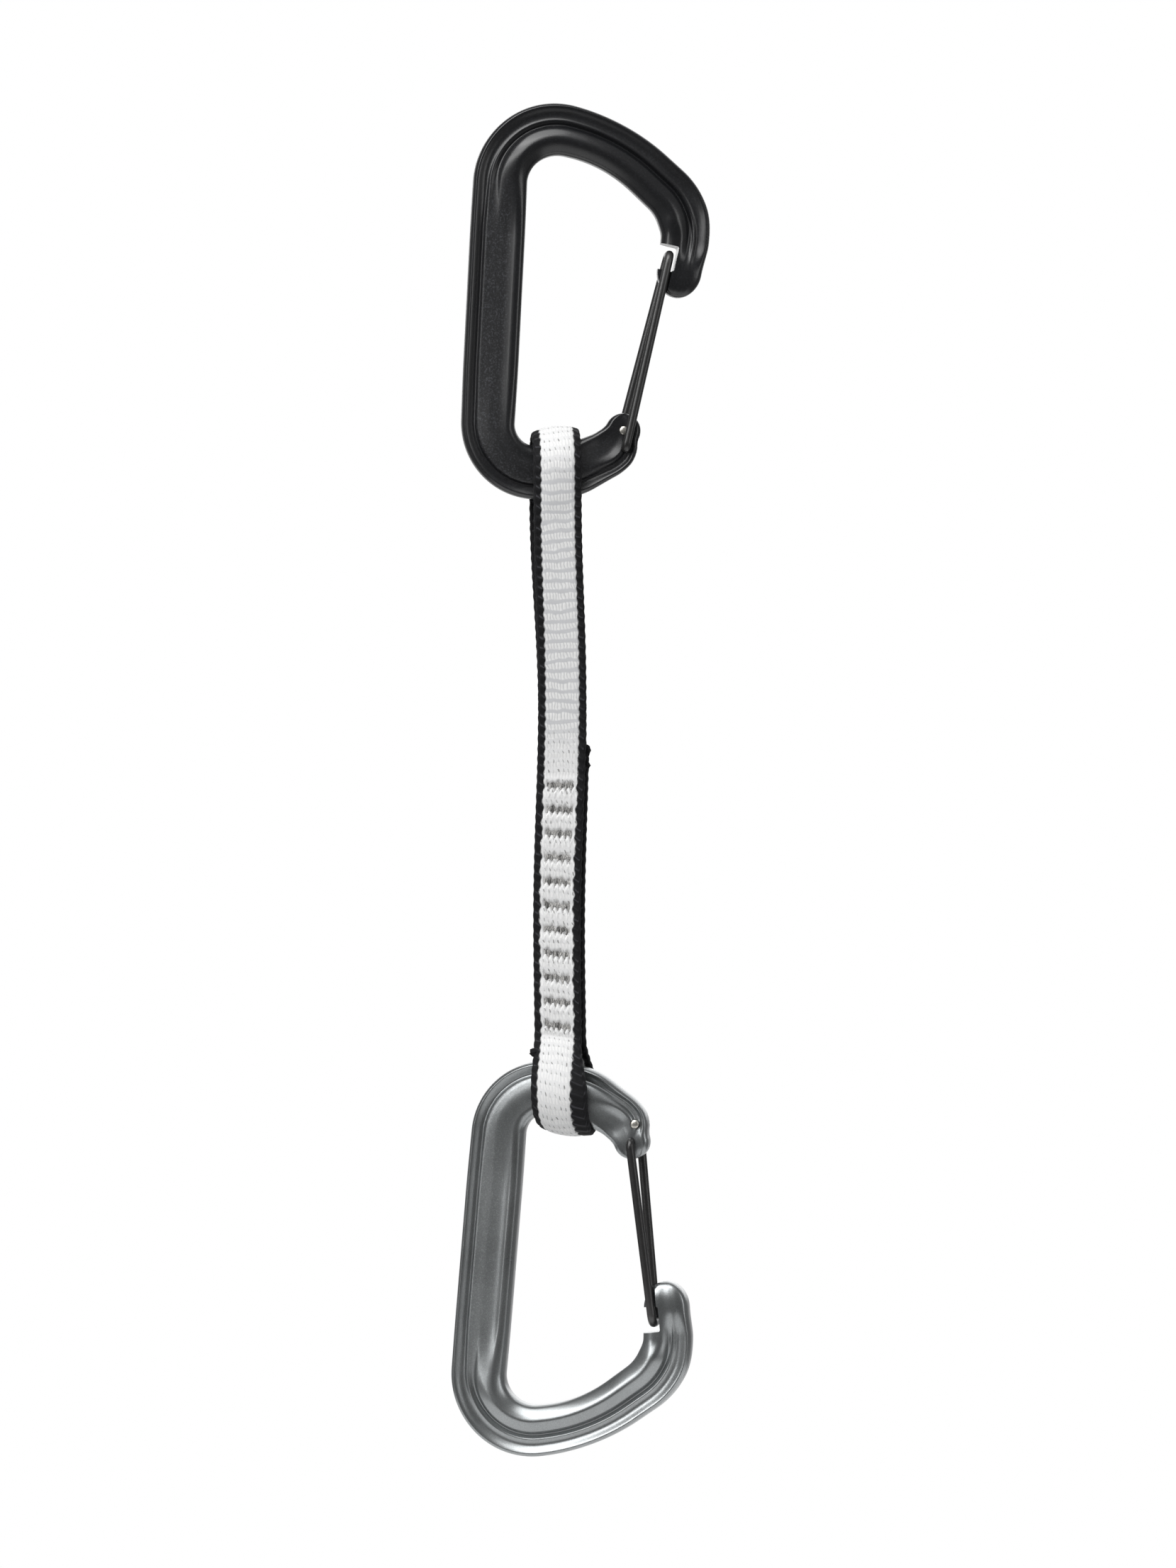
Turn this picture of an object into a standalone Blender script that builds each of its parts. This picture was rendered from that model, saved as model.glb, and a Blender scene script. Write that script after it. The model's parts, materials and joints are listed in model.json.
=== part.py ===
"""Climbing quickdraw: two wire-gate carabiners joined by a sewn webbing sling, hanging as clipped to a bolt."""

import math

import bmesh
import bpy
from mathutils import Matrix, Vector

# Driving sizes, in metres and degrees

# Carabiner frame, in its own upright plane
FRAME_LENGTH = 0.0918
FRAME_WIDTH = 0.0552
SPINE_WIDTH = 0.0126
BASKET_WIDTH = 0.0122
CROWN_WIDTH = 0.0113
NOSE_WIDTH = 0.0118
NOSE_END_WIDTH = 0.0102
SMALL_END_WIDTH = 0.0121
HINGE_ARM_WIDTH = 0.0108
EYE_DIAMETER = 0.0080

# Frame thickness, across the upright plane
SPINE_THICKNESS = 0.0072
BASKET_THICKNESS = 0.0098
NOSE_THICKNESS = 0.0084
SMALL_END_THICKNESS = 0.0088
EYE_THICKNESS = 0.0062
SPINE_EASE = 0.0237

# Bend radii of the frame's centreline
NOSE_BEND = 0.0140
CROWN_BEND = 0.0400
SHOULDER_BEND = 0.0128
HEEL_BEND = 0.0112
TOE_BEND = 0.0140
HINGE_ARM_BEND = 0.0070

# How far the centreline's corners lie from its outermost lines
NOSE_END_SETBACK = 0.0010
NOSE_END_DROP = 0.0314
NOSE_CORNER_OVERSHOOT = 0.0008
NOSE_CORNER_DROP = 0.0179
CROWN_SETBACK = 0.0169
CROWN_DROP = 0.0030
SHOULDER_RISE = 0.0022
HEEL_DROP = 0.0006
TOE_REACH = 0.0193
TOE_RISE = 0.0013
HINGE_ARM_SETBACK = 0.0139
HINGE_ARM_RISE = 0.0065
EYE_SETBACK = 0.0121
EYE_RISE = 0.0112
NOSE_TIP_LENGTH = 0.0061

# Forged relief on both faces of the frame
BASKET_RIM = 0.0042
SPINE_RIM = 0.0025
GROOVE_HALF_WIDTH = 0.0008
GROOVE_FLANK = 0.0010
BASKET_GROOVE_DEPTH = 0.0009
SPINE_GROOVE_DEPTH = 0.0007
PANEL_DEPTH = 0.0006
INNER_RIM = 0.0022
ROUND_EDGE = 2.3
SQUARE_EDGE = 3.2
END_ROUNDING = 0.35

# Wire gate
WIRE_DIAMETER = 0.0020
WIRE_BEND = 0.0016
PIN_SPACING = 0.0041
PIN_LEAN = 0.0006
GATE_TIP_SETBACK = 0.0036
GATE_TIP_DROP = 0.0278
REAR_STUB_LENGTH = 0.0042
REAR_PIVOT_GAP = 0.0009
NOSE_LIP = 0.0036
NOTCH_ABOVE = 0.0021
NOTCH_BELOW = 0.0037
NOTCH_EXTRA = 0.0004
PIN_RECESS = 0.0001

# Sling
SLING_LENGTH = 0.1603
WEBBING_WIDTH = 0.0110
WEBBING_THICKNESS = 0.0018
WEBBING_EDGE = 0.0005
LOOP_CAVITY = 0.0146
LAP_LENGTH = 0.0681
LAP_FROM_LOWER_LOOP = 0.0083
SLING_DRIFT = 0.0011
SLING_SWAY_ABOVE = 0.0031
SLING_SWAY_BELOW = -0.0009
LAYER_BEND = 0.0042

# Bar tacks
TACK_COUNT = 11
TACK_PITCH = 0.00548
TACK_LENGTH = 0.0072
TACK_HEIGHT = 0.0013
TACK_THREAD = 0.0005
TACK_STEM_HEIGHT = 0.0005

# Places of the sling's loops on the small ends, measured from the spine's centreline
UPPER_LOOP_REACH = 0.0159
LOWER_LOOP_REACH = 0.0133
LOOP_LIFT = 0.0007

# How each carabiner hangs: lean in the view's plane, then turn about the plumb line
UPPER_TILT = 2.9
UPPER_TURN = 4.0
LOWER_TILT = 4.8
LOWER_TURN = -9.0
UPPER_LOOP_ROLL = 5.0
LOWER_LOOP_ROLL = -8.0

# Fits and fineness of the curves
CLEARANCE = 0.0003
LAYER_GAP = 0.00025
BEND_STEP = 9.0
RUN_STEP = 0.009
END_ANGLES = (18.0, 36.0, 54.0, 72.0)
EDGE_SHARES = (0.03, 0.09)
RIM_LIMIT = 0.40
INNER_RIM_LIMIT = 0.25
WIRE_BEND_STEP = 22.5
WIRE_RUN_STEP = 0.05
WIRE_SIDE_COUNT = 8
HOLE_SIDE_COUNT = 24
SHARP_ANGLE = 35.0
TINY = 1e-6

# Sizes worked out from the driving sizes
WIRE_RADIUS = WIRE_DIAMETER / 2
LAYER_PITCH = WEBBING_THICKNESS + LAYER_GAP
LOOP_RADIUS = LOOP_CAVITY / 2 + WEBBING_THICKNESS / 2
LOOP_REACH = LOOP_RADIUS + WEBBING_THICKNESS / 2
SLING_SPAN = SLING_LENGTH - 2 * LOOP_REACH
LAP_END = SLING_SPAN - LAP_FROM_LOWER_LOOP
LAP_START = LAP_END - LAP_LENGTH
TACK_ROWS = (TACK_COUNT - 1) * TACK_PITCH
FIRST_TACK = (LAP_START + LAP_END - TACK_ROWS) / 2
SEAM_MARGIN = TACK_HEIGHT / 2 + LAYER_BEND / 2
SEWN_START = FIRST_TACK - SEAM_MARGIN
SEWN_END = FIRST_TACK + TACK_ROWS + SEAM_MARGIN
LEG_AT_EYE = EYE_THICKNESS / 2 + CLEARANCE + WIRE_RADIUS
LEG_AT_NOSE = NOSE_LIP / 2 + CLEARANCE + WIRE_RADIUS
THICKNESS_AXIS = Vector((0.0, 1.0, 0.0))


# Scene helpers

def clear_scene():
    for item in list(bpy.data.objects):
        bpy.data.objects.remove(item, do_unlink=True)


def new_collection(name, parent=None):
    collection = bpy.data.collections.new(name)
    (parent or bpy.context.scene.collection).children.link(collection)
    return collection


def new_material(name, colour, roughness, metallic):
    material = bpy.data.materials.new(name)
    material.use_nodes = True
    shader = material.node_tree.nodes["Principled BSDF"]
    shader.inputs["Base Color"].default_value = (*colour, 1.0)
    shader.inputs["Roughness"].default_value = roughness
    shader.inputs["Metallic"].default_value = metallic
    return material


def add_object(name, data, collection, parent=None, location=(0.0, 0.0, 0.0)):
    item = bpy.data.objects.new(name, data)
    collection.objects.link(item)
    item.parent = parent
    item.location = location
    return item


def add_place(name, collection, location, rotation):
    place = add_object(name, None, collection, None, location)
    place.rotation_euler = [math.radians(angle) for angle in rotation]
    return place


def hide_cutter(cutter):
    cutter.hide_render = True
    cutter.display_type = "WIRE"


def cut_with(item, cutter):
    hide_cutter(cutter)
    cut = item.modifiers.new(cutter.name, "BOOLEAN")
    cut.operation = "DIFFERENCE"
    cut.object = cutter


def add_box_cutter(name, collection, parent, centre, size, turn):
    mesh = bpy.data.meshes.new(name)
    shape = bmesh.new()
    bmesh.ops.create_cube(shape, size=1.0, matrix=Matrix.Diagonal((*size, 1.0)))
    shape.to_mesh(mesh)
    shape.free()
    cutter = add_object(name, mesh, collection, parent, centre)
    cutter.rotation_euler = turn
    return cutter


def add_pin_cutter(name, collection, parent, centre, radius, depth):
    mesh = bpy.data.meshes.new(name)
    shape = bmesh.new()
    bmesh.ops.create_cone(shape, cap_ends=True, segments=HOLE_SIDE_COUNT,
                          radius1=radius, radius2=radius, depth=depth)
    shape.to_mesh(mesh)
    shape.free()
    cutter = add_object(name, mesh, collection, parent, centre)
    cutter.rotation_euler = (math.radians(90.0), 0.0, 0.0)
    return cutter


# Curves and lofts

def smooth_step(value):
    value = min(max(value, 0.0), 1.0)
    return value * value * (3.0 - 2.0 * value)


def value_at(distance, stops, values):
    """Ease from one value to the next between the stops along a path."""
    if distance <= stops[0]:
        return values[0]
    for index in range(1, len(stops)):
        if distance <= stops[index]:
            share = (distance - stops[index - 1]) / (stops[index] - stops[index - 1])
            return values[index - 1] + (values[index] - values[index - 1]) * smooth_step(share)
    return values[-1]


def rounded_path(corners, bend_step=BEND_STEP, run_step=RUN_STEP):
    """Straight runs joined by arcs.

    Each corner is a point and a bend radius. A radius is limited where the runs beside it are too short.
    Gives the points, their directions, their distances along the path and each bend's middle distance.
    """
    places = [corner[0] for corner in corners]
    count = len(places)
    runs = [(places[i + 1] - places[i]) for i in range(count - 1)]
    turns = [0.0] + [runs[i - 1].angle(runs[i]) for i in range(1, count - 1)] + [0.0]
    trims = [corners[i][1] * math.tan(turns[i] / 2) for i in range(count)]
    limits = [1.0] * count
    for i, run in enumerate(runs):
        needed = trims[i] + trims[i + 1]
        if needed > run.length:
            limits[i] = min(limits[i], run.length / needed)
            limits[i + 1] = min(limits[i + 1], run.length / needed)
    trims = [trim * limit for trim, limit in zip(trims, limits)]

    points, directions, bend_ranges = [], [], []

    def add_point(point, direction):
        if not points or (point - points[-1]).length > TINY:
            points.append(point)
            directions.append(direction)

    for i, run in enumerate(runs):
        ahead = run.normalized()
        start = places[i] + ahead * trims[i]
        length = run.length - trims[i] - trims[i + 1]
        steps = max(1, math.ceil(length / run_step - TINY))
        for step in range(steps + 1):
            add_point(start + ahead * (length * step / steps), ahead)
        if i + 1 < count - 1 and turns[i + 1] > TINY:
            entry = places[i + 1] - ahead * trims[i + 1]
            axis = ahead.cross(runs[i + 1]).normalized()
            radius = trims[i + 1] / math.tan(turns[i + 1] / 2)
            centre = entry + axis.cross(ahead) * radius
            steps = max(2, math.ceil(math.degrees(turns[i + 1]) / bend_step))
            first = len(points) - 1
            for step in range(1, steps + 1):
                swing = Matrix.Rotation(turns[i + 1] * step / steps, 3, axis)
                add_point(centre + swing @ (entry - centre), swing @ ahead)
            bend_ranges.append((first, len(points) - 1))

    distances = [0.0]
    for before, after in zip(points, points[1:]):
        distances.append(distances[-1] + (after - before).length)
    middles = [(distances[first] + distances[last]) / 2 for first, last in bend_ranges]
    return points, directions, distances, middles


def loft(name, rings):
    """Closed body through rings of equal point counts, with flat ends."""
    size = len(rings[0])
    points = [point for ring in rings for point in ring]
    faces = [tuple(reversed(range(size)))]
    for row in range(len(rings) - 1):
        for k in range(size):
            after = (k + 1) % size
            faces.append((row * size + k, row * size + after, (row + 1) * size + after, (row + 1) * size + k))
    last = (len(rings) - 1) * size
    faces.append(tuple(range(last, last + size)))
    mesh = bpy.data.meshes.new(name)
    mesh.from_pydata(points, [], faces)
    shape = bmesh.new()
    shape.from_mesh(mesh)
    bmesh.ops.recalc_face_normals(shape, faces=shape.faces)
    shape.to_mesh(mesh)
    shape.free()
    mesh.shade_smooth()
    mesh.set_sharp_from_angle(angle=math.radians(SHARP_ANGLE))
    return mesh


# Carabiner frame

def upright(across, up):
    return Vector((across, 0.0, up))


def outermost_lines():
    """Heights of the basket's and the small end's centrelines, and how far the nose's lies from the spine's."""
    top = FRAME_LENGTH / 2 - BASKET_WIDTH / 2
    bottom = SMALL_END_WIDTH / 2 - FRAME_LENGTH / 2
    side = FRAME_WIDTH - SPINE_WIDTH / 2 - NOSE_WIDTH / 2
    return top, bottom, side


def frame_corners():
    """Corners and bends of the bar's centreline, from the nose round to the hinge eye."""
    top, bottom, side = outermost_lines()
    return [
        (upright(side - NOSE_END_SETBACK, top - NOSE_END_DROP), 0.0),
        (upright(side + NOSE_CORNER_OVERSHOOT, top - NOSE_CORNER_DROP), NOSE_BEND),
        (upright(side - CROWN_SETBACK, top - CROWN_DROP), CROWN_BEND),
        (upright(0.0, top + SHOULDER_RISE), SHOULDER_BEND),
        (upright(0.0, bottom - HEEL_DROP), HEEL_BEND),
        (upright(TOE_REACH, bottom + TOE_RISE), TOE_BEND),
        (upright(side - HINGE_ARM_SETBACK, bottom + HINGE_ARM_RISE), HINGE_ARM_BEND),
        (upright(side - EYE_SETBACK, bottom + EYE_RISE), 0.0),
    ]


def frame_stations():
    """Place, direction and section sizes of the bar at each step, from nose tip to eye tip."""
    points, directions, distances, bends = rounded_path(frame_corners())
    nose, crown, shoulder, heel, toe, arm = bends
    ease = min(SPINE_EASE, (heel - shoulder) / 2 - TINY)
    upper_spine = shoulder + ease
    lower_spine = heel - ease
    stops = [0.0, nose, crown, shoulder, upper_spine, lower_spine, heel, toe, arm, distances[-1]]
    profiles = {
        "width": [NOSE_END_WIDTH, NOSE_WIDTH, CROWN_WIDTH, BASKET_WIDTH, SPINE_WIDTH, SPINE_WIDTH,
                  SMALL_END_WIDTH, SMALL_END_WIDTH, HINGE_ARM_WIDTH, EYE_DIAMETER],
        "thickness": [NOSE_THICKNESS, BASKET_THICKNESS, BASKET_THICKNESS, BASKET_THICKNESS,
                      SPINE_THICKNESS, SPINE_THICKNESS, SMALL_END_THICKNESS, SMALL_END_THICKNESS,
                      EYE_THICKNESS, EYE_THICKNESS],
        "edge": [SQUARE_EDGE, ROUND_EDGE, ROUND_EDGE, ROUND_EDGE, SQUARE_EDGE, SQUARE_EDGE,
                 ROUND_EDGE, ROUND_EDGE, SQUARE_EDGE, SQUARE_EDGE],
        "rim": [BASKET_RIM, BASKET_RIM, BASKET_RIM, BASKET_RIM, SPINE_RIM, SPINE_RIM,
                SPINE_RIM, SPINE_RIM, SPINE_RIM, SPINE_RIM],
        "groove": [0.0, BASKET_GROOVE_DEPTH, BASKET_GROOVE_DEPTH, BASKET_GROOVE_DEPTH, SPINE_GROOVE_DEPTH,
                   SPINE_GROOVE_DEPTH, SPINE_GROOVE_DEPTH, SPINE_GROOVE_DEPTH, 0.0, 0.0],
        "panel": [0.0, 0.0, 0.0, 0.0, PANEL_DEPTH, PANEL_DEPTH, PANEL_DEPTH, 0.0, 0.0, 0.0],
    }
    stations = []
    for point, direction, distance in zip(points, directions, distances):
        sizes = {name: value_at(distance, stops, values) for name, values in profiles.items()}
        sizes["squeeze"] = 1.0
        stations.append((point, direction, sizes))
    nose_end = [round_end(stations[0], -1.0, NOSE_TIP_LENGTH, angle) for angle in reversed(END_ANGLES)]
    eye_end = [round_end(stations[-1], 1.0, EYE_DIAMETER / 2, angle) for angle in END_ANGLES]
    return nose_end + stations + eye_end


def round_end(station, sense, length, angle):
    """A station past the end of the bar, drawn in along an elliptic outline."""
    point, direction, sizes = station
    squeeze = math.cos(math.radians(angle))
    ended = dict(sizes)
    ended["squeeze"] = squeeze
    ended["thickness"] = sizes["thickness"] * squeeze ** END_ROUNDING
    ended["groove"] = 0.0
    return point + direction * (sense * length * math.sin(math.radians(angle))), direction, ended


def bar_section(sizes):
    """Half-thickness of the bar at places across its width, inner edge first.

    A rounded oblong, with a groove beside the outer rim and a sunk panel beside the inner rim.
    """
    width = sizes["width"]
    edges = [width * share for share in EDGE_SHARES]
    inner = min(INNER_RIM, width * INNER_RIM_LIMIT)
    groove_line = width - min(sizes["rim"], width * RIM_LIMIT)
    panel_end = groove_line - GROOVE_HALF_WIDTH
    places = edges + [
        inner,
        inner + GROOVE_HALF_WIDTH,
        panel_end - GROOVE_FLANK,
        panel_end,
        groove_line,
        groove_line + GROOVE_HALF_WIDTH,
    ] + [width - edge for edge in reversed(edges)]
    panel = sizes["panel"]
    sunk = [0.0, 0.0, 0.0, panel, panel, panel / 2, sizes["groove"], 0.0, 0.0, 0.0]
    section = []
    for place, depth in zip(places, sunk):
        reach = abs(2.0 * place / width - 1.0)
        envelope = (1.0 - reach ** sizes["edge"]) ** (1.0 / sizes["edge"])
        section.append(((place - width / 2) * sizes["squeeze"], sizes["thickness"] / 2 * envelope - depth))
    return section


def frame_mesh(name):
    rings = []
    for point, direction, sizes in frame_stations():
        outward = Vector((direction.z, 0.0, -direction.x))
        section = bar_section(sizes)
        half = sizes["width"] * sizes["squeeze"] / 2
        outline = [(-half, 0.0)] + section + [(half, 0.0)] + [(place, -up) for place, up in reversed(section)]
        rings.append([point + outward * place + THICKNESS_AXIS * up for place, up in outline])
    return loft(name, rings)


def basket_seat():
    """Highest point of the basket's inner edge, where a bolt hanger or rope lies."""
    inner_edge = []
    for point, direction, sizes in frame_stations():
        outward = Vector((direction.z, 0.0, -direction.x))
        inner_edge.append(point - outward * (sizes["width"] / 2))
    return max(inner_edge, key=lambda place: place.z)


def loop_place(reach):
    """Where the sling's loop turns about the small end, at this distance from the spine."""
    points = rounded_path(frame_corners())[0]
    for before, after in zip(points, points[1:]):
        if after.z < 0.0 and before.x <= reach <= after.x:
            share = (reach - before.x) / (after.x - before.x)
            return upright(reach, before.z + (after.z - before.z) * share + LOOP_LIFT)
    raise ValueError("the loop lies off the small end")


# Wire gate

def gate_places():
    """Rear pin hole in the eye's middle, front pin hole below it, and the wire's tip in the nose."""
    rear_pin = frame_corners()[-1][0]
    front_pin = rear_pin + upright(PIN_LEAN, -PIN_SPACING)
    top, bottom, side = outermost_lines()
    tip = upright(side - GATE_TIP_SETBACK, top - GATE_TIP_DROP)
    return front_pin, rear_pin, tip


def wire_object(name, corners, origin, collection, parent, offset):
    """Round wire along a bent path, with its origin on its pivot."""
    local_corners = [(place - origin, bend) for place, bend in corners]
    points = rounded_path(local_corners, WIRE_BEND_STEP, WIRE_RUN_STEP)[0]
    curve = bpy.data.curves.new(name, "CURVE")
    curve.dimensions = "3D"
    curve.bevel_depth = WIRE_RADIUS
    curve.bevel_resolution = WIRE_SIDE_COUNT // 2 - 2
    curve.use_fill_caps = True
    spline = curve.splines.new("POLY")
    spline.points.add(len(points) - 1)
    for target, point in zip(spline.points, points):
        target.co = (*point, 1.0)
    return add_object(name, curve, collection, parent, origin + offset)


def add_gate(side, collection, parent, offset, material):
    front_pin, rear_pin, tip = gate_places()
    pin_end = THICKNESS_AXIS * (EYE_THICKNESS / 2 - PIN_RECESS)
    eye_leg = THICKNESS_AXIS * LEG_AT_EYE
    nose_leg = THICKNESS_AXIS * LEG_AT_NOSE
    rear_elbow = rear_pin + eye_leg
    rear_tip = tip + nose_leg
    up_leg = (rear_tip - rear_elbow).normalized()
    loop_bend = min(LEG_AT_NOSE, 2 * WIRE_RADIUS)
    gate = wire_object(side + "_gate_wire", [
        (front_pin + pin_end, 0.0),
        (front_pin - eye_leg, WIRE_BEND),
        (tip - nose_leg, loop_bend),
        (rear_tip, loop_bend),
        (rear_elbow + up_leg * (REAR_STUB_LENGTH + REAR_PIVOT_GAP), 0.0),
    ], front_pin, collection, parent, offset)
    pin = wire_object(side + "_gate_rear_pin", [
        (rear_pin - pin_end, 0.0),
        (rear_elbow, WIRE_BEND),
        (rear_elbow + up_leg * REAR_STUB_LENGTH, 0.0),
    ], rear_pin, collection, parent, offset)
    for item in (gate, pin):
        item.data.materials.append(material)


def cut_frame(frame, side, cutters, parent, offset):
    """Pin holes through the eye, the notch round the wire's tip, and room for its legs beside the lip."""
    front_pin, rear_pin, tip = gate_places()
    hole = WIRE_RADIUS + CLEARANCE
    for name, pin in (("front", front_pin), ("rear", rear_pin)):
        label = side + "_" + name + "_pin_hole"
        cut_with(frame, add_pin_cutter(label, cutters, parent, pin + offset, hole, 2 * EYE_THICKNESS))

    along = (tip - front_pin).normalized()
    away = Vector((along.z, 0.0, -along.x))
    lean = (0.0, math.atan2(along.x, along.z), 0.0)
    reach = NOSE_WIDTH
    pocket_back = WIRE_RADIUS + CLEARANCE
    notch_back = pocket_back + NOTCH_EXTRA
    notch_size = (reach + notch_back, 2 * NOSE_THICKNESS, NOTCH_ABOVE + NOTCH_BELOW)
    notch_middle = tip + along * ((NOTCH_ABOVE - NOTCH_BELOW) / 2) + away * ((notch_back - reach) / 2)
    cut_with(frame, add_box_cutter(side + "_notch", cutters, parent, notch_middle + offset, notch_size, lean))

    pocket_depth = NOSE_THICKNESS
    pocket_length = 2 * NOSE_TIP_LENGTH + NOTCH_BELOW
    pocket_size = (reach + pocket_back, pocket_depth, pocket_length)
    for name, sense in (("front", -1.0), ("rear", 1.0)):
        middle = tip - along * (NOTCH_BELOW / 2 + pocket_length / 2) + away * ((pocket_back - reach) / 2)
        middle = middle + THICKNESS_AXIS * (sense * (NOSE_LIP / 2 + pocket_depth / 2))
        label = side + "_" + name + "_leg_pocket"
        cut_with(frame, add_box_cutter(label, cutters, parent, middle + offset, pocket_size, lean))


def add_carabiner(side, parts, cutters, place, offset, frame_material, wire_material):
    frame = add_object(side + "_frame", frame_mesh(side + "_frame"), parts, place, offset)
    frame.data.materials.append(frame_material)
    cut_frame(frame, side, cutters, place, offset)
    add_gate(side, parts, place, offset, wire_material)


# Sling

class Sling:
    """The strap's middle line from the upper loop to the lower one, with its width turning on the way."""

    def __init__(self, upper, lower):
        self.upper = upper
        self.run = lower - upper

    def frame(self, along):
        share = smooth_step((along - LOOP_REACH) / (SLING_SPAN - 2 * LOOP_REACH))
        turn = math.radians(UPPER_TURN + (LOWER_TURN - UPPER_TURN) * share)
        roll = math.radians(UPPER_LOOP_ROLL + (LOWER_LOOP_ROLL - UPPER_LOOP_ROLL) * share)
        across = Matrix.Rotation(turn, 3, "Z") @ Vector((math.cos(roll), 0.0, math.sin(roll)))
        outward = across.cross(self.run).normalized()
        rest = 1.0 - share
        sway = 3.0 * rest * share * (rest * SLING_SWAY_ABOVE + share * SLING_SWAY_BELOW)
        middle = self.upper + self.run * (along / SLING_SPAN) + Vector((sway, 0.0, 0.0))
        return middle, across, outward

    def place(self, along, out, sideways):
        middle, across, outward = self.frame(along)
        return middle + outward * out + across * sideways

    def turn_at(self, along):
        """Rotation whose axes are the strap's outward, downward and width directions."""
        middle, across, outward = self.frame(along)
        down = outward.cross(across).normalized()
        return Matrix((outward, down, across)).transposed().to_euler()


def side_view(along, out):
    return Vector((along, out, 0.0))


def tangent_angle(sewn, out, side):
    """Angle about a loop's middle, from the line to the seam, where the strap leaves for the seam."""
    return side * math.acos(LOOP_RADIUS / math.hypot(sewn, out)) + math.atan2(out, sewn)


def loop_point(middle, toward, angle):
    return side_view(middle + toward * LOOP_RADIUS * math.cos(angle), LOOP_RADIUS * math.sin(angle))


def loop_arc(middle, toward, start, end):
    """The strap's round turn about a loop's middle, the long way round from start to end."""
    sweep = math.copysign(2 * math.pi - abs(end - start), start - end)
    steps = math.ceil(math.degrees(abs(sweep)) / (2 * BEND_STEP))
    return [loop_point(middle, toward, start + sweep * step / steps) for step in range(1, steps)]


def strap_path():
    """Side view of the whole strip, as distance down the sling and distance out from its middle.

    From the cut end inside the lap, round the lower loop, up the front, round the upper loop
    and down the back to the other cut end.
    """
    below = SLING_SPAN - SEWN_END
    inside_angle = tangent_angle(below, 0.0, 1.0)
    lower_front = tangent_angle(below, -LAYER_PITCH, -1.0)
    upper_front = tangent_angle(SEWN_START, -LAYER_PITCH, -1.0)
    upper_back = tangent_angle(SEWN_START, LAYER_PITCH, 1.0)
    inside_leave = loop_point(SLING_SPAN, -1.0, inside_angle)

    inside = [
        (side_view(LAP_START, 0.0), 0.0),
        (side_view(SEWN_END, 0.0), LAYER_BEND),
        (inside_leave, 0.0),
    ]
    front = [
        (loop_point(SLING_SPAN, -1.0, lower_front), 0.0),
        (side_view(SEWN_END, -LAYER_PITCH), LAYER_BEND),
        (side_view(SEWN_START, -LAYER_PITCH), LAYER_BEND),
        (loop_point(0.0, 1.0, upper_front), 0.0),
    ]
    splay = (inside_leave - side_view(SEWN_END, 0.0)).normalized()
    tail_start = SEWN_END + LAYER_PITCH * (splay.x - 1.0) / splay.y
    tail = side_view(tail_start, LAYER_PITCH)
    tail_length = (LAP_END - tail_start) / splay.x
    back = [
        (loop_point(0.0, 1.0, upper_back), 0.0),
        (side_view(SEWN_START, LAYER_PITCH), LAYER_BEND),
        (tail, LAYER_BEND - LAYER_PITCH),
        (tail + splay * tail_length, 0.0),
    ]
    path = rounded_path(inside)[0]
    path += loop_arc(SLING_SPAN, -1.0, inside_angle, lower_front)
    path += rounded_path(front)[0]
    path += loop_arc(0.0, 1.0, upper_front, upper_back)
    path += rounded_path(back)[0]
    return path


def webbing_mesh(name, sling, origin):
    flat = WEBBING_WIDTH / 2 - WEBBING_EDGE
    half_width = WEBBING_WIDTH / 2
    half = WEBBING_THICKNESS / 2
    flank = half - WEBBING_EDGE
    section = [(-flat, half), (flat, half), (half_width, flank), (half_width, -flank),
               (flat, -half), (-flat, -half), (-half_width, -flank), (-half_width, flank)]
    path = strap_path()
    rings = []
    for index, point in enumerate(path):
        before = path[max(index - 1, 0)]
        after = path[min(index + 1, len(path) - 1)]
        ahead = (after - before).normalized()
        aside = Vector((-ahead.y, ahead.x, 0.0))
        ring = []
        for sideways, lift in section:
            spot = point + aside * lift
            ring.append(sling.place(spot.x, spot.y, sideways) - origin)
        rings.append(ring)
    return loft(name, rings)


def add_tack(name, collection, parent, origin, sling, along, material):
    """One row of stitches: a bar on each face of the lap and the threads through it."""
    face = LAYER_PITCH + WEBBING_THICKNESS / 2 + CLEARANCE
    outer = face + TACK_THREAD
    bar = TACK_HEIGHT / 2
    stem = TACK_STEM_HEIGHT / 2
    outline = [(outer, bar), (face, bar), (face, stem), (-face, stem), (-face, bar), (-outer, bar),
               (-outer, -bar), (-face, -bar), (-face, -stem), (face, -stem), (face, -bar), (outer, -bar)]
    curve = bpy.data.curves.new(name, "CURVE")
    curve.dimensions = "2D"
    curve.fill_mode = "BOTH"
    curve.extrude = TACK_LENGTH / 2
    spline = curve.splines.new("POLY")
    spline.points.add(len(outline) - 1)
    spline.use_cyclic_u = True
    for target, (x, y) in zip(spline.points, outline):
        target.co = (x, y, 0.0, 1.0)
    curve.materials.append(material)
    tack = add_object(name, curve, collection, parent, sling.place(along, 0.0, 0.0) - origin)
    tack.rotation_euler = sling.turn_at(along)
    return tack


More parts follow.
